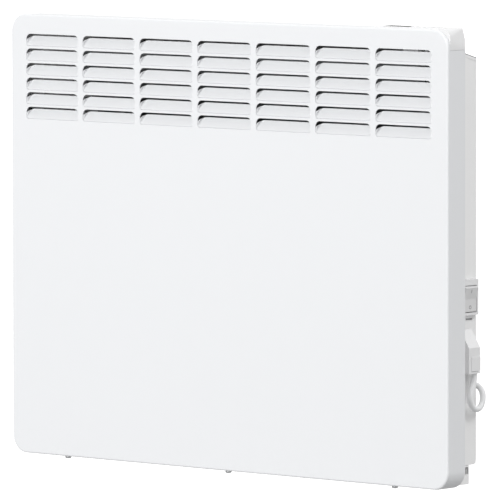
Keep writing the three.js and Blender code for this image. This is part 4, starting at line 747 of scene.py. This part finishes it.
class HEATER_OT_controls(bpy.types.Operator):
    """Makes the control unit: its housing, display, gasket and keys with their marks"""

    bl_idname = "heater.controls"
    bl_label = "Control unit"

    def execute(self, context):
        sizes = context.scene.heater_sizes
        low, high = span("control_housing")
        bm = bmesh.new()
        front = control_outline(bm, CASING_CORNER, low.y)
        rear = control_outline(bm, REAR_CORNER, high.y, lean=REAR_LEAN)
        bmesh.ops.bridge_loops(bm, edges=list(front.edges) + list(rear.edges))
        housing = piece_from("control_unit_shell", bm, white_plastic(),
                             ["control_housing"], smooth=40)
        glass_low, glass_high = span("display_lens")
        wells = [(glass_low - GLASS_WELL, glass_high + GLASS_WELL + Vector((0, 0, WELL_TOP)))]
        for name in KEY_MARKS:
            x, y, _ = sum(span(f"key_{name}"), Vector()) / 2
            half_x, half_y, depth = KEY_WELL
            wells.append(((x - half_x, y - half_y, high.z - depth),
                          (x + half_x, y + half_y, high.z + WELL_TOP)))
        carve(housing, wells)
        soften(housing, sizes.plastic_edge * 0.6)
        self.display(glass_low, glass_high)
        for name, bars in KEY_MARKS.items():
            self.key(name, bars, sizes.plastic_edge * 0.6)
        return {"FINISHED"}

    def display(self, low, high):
        """The lens in its dark gasket."""
        gasket = bmesh.new()
        box(gasket, low - GASKET_RIM, high + GASKET_RIM + GASKET_PROUD)
        ring = piece_from("display_gasket", gasket, black_plastic())
        carve(ring, [(low - CLEAR, high + CLEAR)])
        dress(ring, black_plastic())
        lens = bmesh.new()
        box(lens, low + GLASS_PLAY, high - GLASS_PLAY)
        clear = finish("clear_display_lens", (0.93, 0.95, 0.95), 0.1, shade=0.97, patch=40, grain=3000,
                       depth=0.000004, play=0.03, coat=0.6, clear=0.55)
        piece_from("display_window", lens, clear, ["display_lens"], width=0.3)

    def key(self, name, bars, rounding):
        """One push key, softly rounded, with its mark level with its top."""
        node = f"key_{name}"
        piece_over(node, f"{node}_cap", white_plastic(), rounding, body=node)
        middle = sum(span(node), Vector()) / 2
        middle.z = span(node)[1].z
        bm = bmesh.new()
        for width, depth, shift in bars:
            box(bm, (-width / 2, shift - depth / 2, -MARK_DEPTH), (width / 2, shift + depth / 2, 0))
        if not bars:
            bmesh.ops.create_circle(bm, segments=28, radius=RING_RADIUS, cap_ends=False)
            wider = bmesh.ops.extrude_edge_only(bm, edges=bm.edges[:])["geom"]
            verts = [g for g in wider if isinstance(g, bmesh.types.BMVert)]
            bmesh.ops.scale(bm, vec=(RING_GROWTH, RING_GROWTH, 1), verts=verts)
            bmesh.ops.solidify(bm, geom=bm.faces[:], thickness=0.15)
            move(bm, (0, 0, -max(v.co.z for v in bm.verts)))
        move(bm, middle)
        piece_from(f"{node}_mark", bm, printed_marks(), body=node)


# ---------- Rear ----------


class HEATER_OT_back(bpy.types.Operator):
    """Makes the rear box and the grille under it from folded sheet"""

    bl_idname = "heater.back"
    bl_label = "Rear box and grille"

    def execute(self, context):
        sizes = context.scene.heater_sizes
        shell = piece_over("back_box", "rear_box_pressed", box_enamel(), sizes.fold)
        move_verts(shell, lambda place: abs(place.y - BOX_REAR_Y + 1) < 0.5 and place.z > BOX_REAR_TOP - 2,
                   BOX_FOLD_SHIFT)
        # A dark grey strip along the box's top edge: painted shade that stands for the shadow line there.
        self.edge_strip("rear_box_painted_shade_strip", *BOX_SHADE_STRIP, finish("painted_shade_grey", (0.3, 0.3, 0.31), 0.6))
        self.edge_strip("rear_box_lip", *BOX_LIP, box_enamel())
        grille = piece_over("inlet_grille", "inlet_grille_moulded", box_enamel(), 0)
        low, high = span("inlet_grille")
        for side in (low.x, high.x):
            corner = Vector((side, high.y, high.z))
            carve(grille, [(corner - VENT_LOW, corner + VENT_HIGH)])
        soften(grille, sizes.fold)
        return {"FINISHED"}

    def edge_strip(self, name, proud, heights, material):
        """A thin strip on both sides of the box, along its sloping top edge."""
        side = -CASING_LOW.x - BOX_INSET
        bm = bmesh.new()
        for reach in (side - 0.1, -side - proud):
            box(bm, (reach, CASING_HIGH.y, heights[0]), (reach + proud + 0.1, BOX_REAR_Y - 0.2, heights[1]))
        slope = Matrix.Identity(4)
        slope[2][1] = -BOX_TOP_SLOPE
        slope[2][3] = BOX_REAR_TOP + BOX_REAR_Y * BOX_TOP_SLOPE
        bmesh.ops.transform(bm, matrix=slope, verts=bm.verts)
        piece_from(name, bm, material)


def screw_mesh(room):
    """A pan-headed screw, in millimetres, with its top at z = 0 and its shank down; room is its length."""
    bm = bmesh.new()
    head = bmesh.ops.create_cone(bm, cap_ends=True, segments=32, radius1=HEAD_RADIUS, radius2=HEAD_RADIUS,
                                 depth=HEAD_DEPTH)["verts"]
    move(bm, (0, 0, -HEAD_DEPTH / 2), head)
    crown = [e for e in bm.edges if all(abs(v.co.z) < TOUCH for v in e.verts)]
    round_off(bm, crown, HEAD_CROWN, 6)
    length = room - HEAD_DEPTH - SHANK_PLAY
    shank = bmesh.ops.create_cone(bm, cap_ends=True, segments=20, radius1=SHANK_RADII[0],
                                  radius2=SHANK_RADII[1], depth=length)["verts"]
    move(bm, (0, 0, -HEAD_DEPTH - length / 2 + 0.05), shank)
    return bm


class HEATER_OT_screws(bpy.types.Operator):
    """Makes the three screws under the rim and the four behind it"""

    bl_idname = "heater.screws"
    bl_label = "Casing screws"

    def execute(self, context):
        for index in range(3):
            node = f"bottom_screw_{index + 1}"
            low, high = span(node)
            place = ((low.x + high.x) / 2, (low.y + high.y) / 2, low.z + HEAD_RAISE)
            self.screw(node, place, math.pi, high.z - low.z - HEAD_RAISE)
        for index in range(4):
            node = f"rear_screw_{index + 1}"
            low, high = span(node)
            place = ((low.x + high.x) / 2, high.y, (low.z + high.z) / 2)
            self.screw(node, place, -math.pi / 2, high.y - low.y)
        return {"FINISHED"}

    def screw(self, node, place, angle, room):
        """One screw, turned about X, with its cross carved one slot at a time."""
        place = Matrix.Translation(place) @ Matrix.Rotation(angle, 4, "X")
        bm = screw_mesh(room)
        bmesh.ops.transform(bm, matrix=place, verts=bm.verts)
        made = piece_from(f"{node}_cross_head", bm, plated_steel(), [node])
        long, wide, deep = SLOT
        for width, depth in ((long, wide), (wide, long)):
            carve(made, [((-width / 2, -depth / 2, -deep), (width / 2, depth / 2, 1))], place)
        dress(made, plated_steel())


# ---------- Switch and cable entry ----------


class HEATER_OT_switch(bpy.types.Operator):
    """Makes the rocker switch with its bezel and its I and O"""

    bl_idname = "heater.switch"
    bl_label = "Rocker switch"

    def execute(self, context):
        sizes = context.scene.heater_sizes
        bezel = piece_over("switch_housing", "switch_bezel", white_plastic(),
                           sizes.plastic_edge * 1.2)
        top = span("switch_housing")[1].z
        move_verts(bezel, lambda place: place.z > top - 1, (0, 0, BEZEL_RAISE))
        satin = finish("rocker_plastic", [c * ROCKER_SHADE for c in colours().plastic], 0.34, shade=0.97,
                       patch=60, grain=2200, depth=0.00001)
        button = piece_over("rocker", "rocker_button", satin, sizes.plastic_edge * 0.7,
                            body="rocker")
        low, high = span("rocker")
        move_verts(button, lambda place: place.z > high.z - 2.5, (0, 0, ROCKER_REACH))
        move_verts(button, lambda place: place.z < low.z + 0.8, (0, 0, -ROCKER_REACH))
        joint = next(j for j in frame["joints"] if j["name"] == "rocker_tip")
        pivot = Vector(joint["pos_m"]) / MM
        tilt = math.radians(joint["range_deg"][1])
        upright = bmesh.new()
        box(upright, (MARK_FACE - 0.12, -0.4, 6.0), (MARK_FACE + 0.06, 0.4, 9.6))
        rotate(upright, tilt, "Y", cent=(MARK_FACE, 0, 0))
        move(upright, pivot)
        piece_from("rocker_mark_on", upright, printed_marks(), body="rocker")
        ring = bmesh.new()
        profile = bmesh.ops.create_circle(ring, segments=8, radius=O_LINE, cap_ends=False)["verts"]
        rotate(ring, math.pi / 2, "X", profile)
        move(ring, (O_RADIUS, 0, 0), profile)
        bmesh.ops.spin(ring, geom=ring.verts[:] + ring.edges[:], cent=(0, 0, 0), axis=(0, 0, 1),
                       angle=math.tau, steps=28, use_merge=True)
        bmesh.ops.scale(ring, vec=(1, 1, 0.3), verts=ring.verts)
        rotate(ring, math.pi / 2, "Y")
        move(ring, pivot + Vector((MARK_FACE, 0, MARK_DROP)))
        piece_from("rocker_mark_off", ring, printed_marks(), smooth=80, body="rocker")
        return {"FINISHED"}


class HEATER_OT_cable_entry(bpy.types.Operator):
    """Makes the hood over the cable entry and the clamp in it"""

    bl_idname = "heater.cable_entry"
    bl_label = "Cable entry"

    def execute(self, context):
        sizes = context.scene.heater_sizes
        hood = piece_over("cable_entry_housing", "cable_hood", white_plastic(),
                          sizes.plastic_edge * 1.3)
        top = span("cable_entry_housing")[1].z
        move_verts(hood, lambda place: place.z > top - 1, (0, 0, HOOD_RAISE))
        clamp = piece_over("cord_clamp", "cable_clamp", white_plastic(),
                           sizes.plastic_edge * 0.5)
        low, high = span("cord_clamp")
        move_verts(clamp, lambda place: place.z > high.z - 0.1, (0, 0, CLAMP_REACH))
        move_verts(clamp, lambda place: place.y < low.y + 0.1, (0, -CLAMP_REACH, 0))
        return {"FINISHED"}


# ---------- Mains lead ----------


def smooth_line(points, step):
    """Points about a step apart on a smooth line through the given ones."""
    points = [Vector(p) for p in points]
    points = [2 * points[0] - points[1], *points, 2 * points[-1] - points[-2]]
    line = [points[1]]
    for a, b, c, d in zip(points, points[1:], points[2:], points[3:]):
        t1 = math.sqrt((b - a).length)
        t2 = t1 + math.sqrt((c - b).length)
        t3 = t2 + math.sqrt((d - c).length)
        parts = max(1, round((c - b).length / step))
        for k in range(1, parts + 1):
            t = t1 + (t2 - t1) * k / parts
            share = (t - t1) / (t2 - t1)
            bc = b.lerp(c, share)
            abc = a.lerp(b, t / t1).lerp(bc, t / t2)
            bcd = bc.lerp(c.lerp(d, (t - t2) / (t3 - t2)), (t - t1) / (t3 - t1))
            line.append(abc.lerp(bcd, share))
    return line


def eased(share):
    """A share that starts and stops softly, kept between 0 and 1."""
    share = min(1, max(0, share))
    return share * share * (3 - 2 * share)


def hank_line():
    """The hank's line: long runs and round ends in two layers, drawn in at the tie."""
    half = HANK_RUN / 2
    back = HANK_HALF_TURNS / 2
    end = half - HANK_STRAIGHT
    line = []
    for index in range(round((HANK_HALF_TURNS + HANK_RUN_SHARE) * HANK_STEPS) + 1):
        s = index / HANK_STEPS
        side = 1 if int(s + 1e-9) % 2 == 0 else -1
        within = s - int(s + 1e-9)
        away = back - s if s < back else max(0, s - back - HANK_RUN_SHARE)
        radius = HANK_NARROW + (HANK_WIDE - HANK_NARROW) * min(away, back) / back
        layer = (eased((s - back) / HANK_RUN_SHARE) - 0.5) * HANK_LAYER
        if within <= HANK_RUN_SHARE + 1e-9:
            x = side * half * (1 - 2 * within / HANK_RUN_SHARE)
            waist = HANK_WAIST * eased((end - abs(x)) / (end - TIE_WIDTH - TIE_PLAY))
            line.append(Vector((x, layer, side * (radius - waist))))
        else:
            angle = math.pi * (within - HANK_RUN_SHARE) / (1 - HANK_RUN_SHARE)
            x = -side * (half + radius * math.sin(angle))
            line.append(Vector((x, layer, side * radius * math.cos(angle))))
    return [Vector(HANK_MIDDLE) + p for p in line]


class HEATER_OT_lead(bpy.types.Operator):
    """Makes the mains lead as one cord, with its tie, its plug and the plug's pins"""

    bl_idname = "heater.lead"
    bl_label = "Mains lead"

    def execute(self, context):
        diameter = context.scene.heater_sizes.cord_diameter * MM
        line = smooth_line(LEAD_ROUTE, LEAD_STEP) + hank_line() + smooth_line(TAIL_ROUTE, LEAD_STEP)
        flex = bpy.data.curves.new("mains_lead", "CURVE")
        flex.dimensions = "3D"
        flex.bevel_depth = diameter / 2
        flex.bevel_resolution = 5
        flex.use_fill_caps = True
        spline = flex.splines.new("POLY")
        spline.points.add(len(line) - 1)
        for point, place in zip(spline.points, line):
            point.co = (*place, 1)
        spline.use_smooth = True
        lead = bpy.data.objects.new("mains_lead", flex)
        context.scene.collection.objects.link(lead)
        dress(lead, cord_jacket(),
              ["mains_cord_lead", "mains_cord_hank", "mains_cord_tail"])
        tie = piece_over("cord_tie", "lead_tie", black_plastic(), 0.4, 2)
        on_it = [tie, *self.plug(), *[self.pin(name) for name in ("neutral", "earth", "live")]]
        return {"FINISHED"}

    def plug(self):
        """The moulded plug: a flat body with finger grooves and a ribbed, tapered sleeve."""
        low, high = span("plug_body")
        middle = (low + high) / 2
        bm = bmesh.new()
        box(bm, low, (PLUG_BODY_END, high.y, high.z))
        rim = [e for e in bm.edges if all(abs(v.co.x - PLUG_BODY_END) < TOUCH for v in e.verts)]
        round_off(bm, [e for e in rim if abs(e.verts[0].co.y - e.verts[1].co.y) > 1], PLUG_CORNER, 6)
        sleeve = bmesh.new()
        length = high.x - PLUG_BODY_END + SLEEVE_SINK
        start_radius, end_radius = SLEEVE_RADII
        points = [sleeve.verts.new((0, 0, 0))]
        for ring in range(SLEEVE_RINGS):
            for share, dent in ((0.0, 0.0), (0.45, 0.0), (0.55, 0.7), (0.95, 0.7)):
                along = (ring + share) / SLEEVE_RINGS
                radius = start_radius + (end_radius - start_radius) * along - dent * (0 < ring)
                points.append(sleeve.verts.new((along * length, 0, radius)))
        points.append(sleeve.verts.new((length, 0, 0)))
        for a, b in zip(points, points[1:]):
            sleeve.edges.new((a, b))
        bmesh.ops.spin(sleeve, geom=sleeve.verts[:] + sleeve.edges[:], cent=(0, 0, 0), axis=(1, 0, 0),
                       angle=math.tau, steps=28, use_merge=True)
        bmesh.ops.remove_doubles(sleeve, verts=sleeve.verts, dist=0.001)
        move(sleeve, (PLUG_BODY_END - SLEEVE_SINK, middle.y, middle.z))
        jacket = finish("moulded_plug", colours().jacket, 0.48, shade=0.95, patch=50, grain=1500)
        body = piece_from("plug_moulding", bm, jacket, ["plug_body"])
        grooves = []
        for index in range(GROOVES):
            for y in (low.y, high.y):
                groove = Vector((low.x + GROOVE_START + index * GROOVE_PITCH, y, middle.z))
                grooves.append((groove - GROOVE_HALF, groove + GROOVE_HALF))
        carve(body, grooves)
        dress(body, jacket)
        soften(body, 0.6)
        boot = piece_from("plug_sleeve", sleeve, jacket, smooth=25)
        return [body, boot]

    def pin(self, name):
        """One round pin with a domed tip."""
        node = f"plug_pin_{name}"
        low, high = span(node)
        bm = bmesh.new()
        radius = (high.z - low.z) / 2
        bmesh.ops.create_cone(bm, cap_ends=True, segments=28, radius1=radius, radius2=radius,
                              depth=high.x - low.x)
        rotate(bm, math.pi / 2, "Y")
        tip = [e for e in bm.edges if all(v.co.x < 0 for v in e.verts)]
        move(bm, (low + high) / 2)
        round_off(bm, tip, radius * 0.8, 5)
        return piece_from(f"{node}_turned", bm, bright_brass(), [node])


# ---------- Bracket and levers ----------


class HEATER_OT_bracket(bpy.types.Operator):
    """Makes the wall bracket, its cord shelf, its levers and their pins"""

    bl_idname = "heater.bracket"
    bl_label = "Wall bracket and levers"

    def execute(self, context):
        fold = context.scene.heater_sizes.fold
        for node in ("bracket_crossbar", "bracket_upright_left", "bracket_upright_right", "cord_rail"):
            piece_over(node, f"{node}_sheet", zinc_sheet(), fold, 2)
        for side in ("left", "right"):
            lever, pin = f"latch_{side}", f"latch_pin_{side}"
            piece_over(lever, f"{lever}_lever", zinc_sheet(), 0.6, body=lever)
            piece_over(pin, f"{pin}_rivet", plated_steel(), 0.5)
        return {"FINISHED"}


# ---------- Inside ----------


class HEATER_OT_inside(bpy.types.Operator):
    """Gives the pieces inside the casing their finishes"""

    bl_idname = "heater.inside"
    bl_label = "Inside pieces"

    def execute(self, context):
        rows = (
            # The heat shield and the deflector take the darkened copy of the galvanised sheet: painted
            # shade.
            (inner_sheet(), "heat_shield", "top_deflector"),
            (plated_steel(), "overheat_cutout"),
            (black_plastic(), "power_relay"),
            (cord_jacket(), "supply_lead_end"),
            (bright_brass(), "earth_stud"),
            (finish("circuit_board", (0.03, 0.16, 0.07), 0.35, shade=0.75, patch=150, coat=0.3),
             "power_board", "control_board"),
            (finish("drawn_aluminium", (0.62, 0.63, 0.64), 0.42, metallic=1.0, shade=0.85, patch=90),
             "heating_element"),
            (finish("unglazed_ceramic", (0.82, 0.78, 0.70), 0.7, shade=0.9, patch=120, depth=0.00005),
             "element_insulator_left", "element_insulator_right", "terminal_block"),
            (finish("grey_carrier_plastic", (0.55, 0.55, 0.56), 0.45, shade=0.92, patch=80),
             "control_carrier"),
            (finish("taped_winding", (0.5, 0.3, 0.05), 0.5, shade=0.8, patch=200), "supply_transformer"),
            (finish("grey_sensor_clip", (0.5, 0.5, 0.51), 0.5, shade=0.85, patch=150), "room_sensor"),
            (finish("brown_insulation", (0.18, 0.07, 0.03), 0.4, shade=0.85, patch=80),
             "wire_switch", "wire_board"),
            (finish("blue_insulation", (0.03, 0.09, 0.32), 0.4, shade=0.85, patch=80), "wire_element"),
            (finish("green_insulation", (0.16, 0.36, 0.05), 0.4, shade=0.85, patch=80), "wire_earth"),
            (finish("grey_ribbon", (0.48, 0.49, 0.51), 0.45, shade=0.9, patch=80), "control_ribbon"),
            (finish("unlit_display", (0.62, 0.66, 0.64), 0.3, shade=0.95, patch=50), "display_module"),
        )
        for material, *names in rows:
            for name in names:
                piece = NODES[name]
                if not piece.material_slots:
                    piece.data.materials.append(material)
                for place in piece.material_slots:
                    place.material = material
        return {"FINISHED"}


# ---------- Stage ----------


class HEATER_OT_camera(bpy.types.Operator):
    """Sets up the camera at the photograph's viewing angle"""

    bl_idname = "heater.camera"
    bl_label = "Camera"

    def execute(self, context):
        stage = context.scene.heater_stage
        data = bpy.data.cameras.new("camera")
        data.sensor_width = SENSOR_WIDTH
        data.lens = stage.focal_pixels / PICTURE_WIDTH * SENSOR_WIDTH
        data.clip_start = 0.5
        data.clip_end = 200
        camera = bpy.data.objects.new("camera", data)
        context.scene.collection.objects.link(camera)
        turn = Matrix.Rotation(stage.bearing, 4, "Z") @ Matrix.Rotation(math.pi / 2 - stage.pitch, 4, "X")
        roll = Matrix.Rotation(stage.roll, 4, "Z")
        camera.matrix_world = Matrix.Translation(stage.place) @ turn @ roll
        context.scene.camera = camera
        return {"FINISHED"}


class HEATER_OT_stage(bpy.types.Operator):
    """Makes the pale floor, the soft light and the even light from all round"""

    bl_idname = "heater.stage"
    bl_label = "Floor and light"

    def execute(self, context):
        stage = context.scene.heater_stage
        scene = context.scene
        scene.view_settings.view_transform = "Standard"
        bm = bmesh.new()
        flat_rectangle(bm, (-FLOOR_REACH, -FLOOR_REACH), (FLOOR_REACH, FLOOR_REACH))
        move(bm, (0, 0, -stage.floor_drop))
        floor = mesh_object("floor", bm)
        pale = finish("pale_floor", (0.36, 0.36, 0.36), 0.85, shade=0.99, patch=1.0, grain=40, depth=0.0001)
        tree = pale.node_tree
        skin = tree.nodes["Principled BSDF"]
        skin.inputs["Emission Color"].default_value = (1, 1, 1, 1)
        path = tree.nodes.new("ShaderNodeLightPath")
        lift = add_node(tree, "ShaderNodeMath", operation="MULTIPLY")
        lift.inputs[1].default_value = stage.glow
        wire(path, "Is Camera Ray", lift, 0)
        wire(lift, 0, skin, "Emission Strength")
        floor.data.materials.append(pale)
        world = bpy.data.worlds.new("even_light")
        world.use_nodes = True
        air = world.node_tree
        away = add_node(air, "ShaderNodeTexCoord")
        parts = add_node(air, "ShaderNodeSeparateXYZ")
        blend = add_node(air, "ShaderNodeMapRange", from_min=-BLEND_REACH, from_max=BLEND_REACH,
                         to_min=stage.sky, to_max=stage.backdrop)
        background = air.nodes["Background"]
        wire(away, "Object", parts, 0)
        wire(parts, "Y", blend, "Value")
        background.inputs["Color"].default_value = (1, 1, 1, 1)
        wire(blend, "Result", background, "Strength")
        scene.world = world
        self.softbox("front_softbox", *FRONT_SOFTBOX, stage.key)
        self.softbox("top_softbox", *TOP_SOFTBOX, stage.top)
        return {"FINISHED"}

    def softbox(self, name, place, size, power):
        """A square area light that faces the heater."""
        data = bpy.data.lights.new(name, "AREA")
        data.size = size
        data.energy = power
        lamp = bpy.data.objects.new(name, data)
        lamp.location = place
        lamp.rotation_mode = "QUATERNION"
        lamp.rotation_quaternion = (-Vector(place)).to_track_quat("-Z", "Y")
        bpy.context.scene.collection.objects.link(lamp)


STEPS = (
    HEATER_OT_camera,
    HEATER_OT_lead,
    HEATER_OT_front,
    HEATER_OT_controls,
    HEATER_OT_back,
    HEATER_OT_screws,
    HEATER_OT_switch,
    HEATER_OT_cable_entry,
    HEATER_OT_bracket,
    HEATER_OT_inside,
    HEATER_OT_stage,
)


class HEATER_PT_panel(bpy.types.Panel):
    """Sidebar panel that lists the heater's settings and steps"""

    bl_idname = "HEATER_PT_panel"
    bl_label = "Panel convector heater"
    bl_space_type = "VIEW_3D"
    bl_region_type = "UI"
    bl_category = "Heater"

    def draw(self, context):
        for group in (context.scene.heater_sizes, context.scene.heater_colours, context.scene.heater_stage):
            part = self.layout.box()
            for label in group.__annotations__:
                part.prop(group, label)
        column = self.layout.column(align=True)
        for step in STEPS:
            column.operator(step.bl_idname)


CLASSES = (HeaterSizes, HeaterColours, HeaterStage, *STEPS, HEATER_PT_panel)


def register():
    for made in CLASSES:
        bpy.utils.register_class(made)
    bpy.types.Scene.heater_sizes = PointerProperty(type=HeaterSizes)
    bpy.types.Scene.heater_colours = PointerProperty(type=HeaterColours)
    bpy.types.Scene.heater_stage = PointerProperty(type=HeaterStage)


def unregister():
    del bpy.types.Scene.heater_stage
    del bpy.types.Scene.heater_colours
    del bpy.types.Scene.heater_sizes
    for made in reversed(CLASSES):
        bpy.utils.unregister_class(made)


def main():
    register()
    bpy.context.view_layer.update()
    for step in STEPS:
        area, name = step.bl_idname.split(".")
        getattr(getattr(bpy.ops, area), name)()
    bpy.context.view_layer.update()


if __name__ == "__main__":
    main()
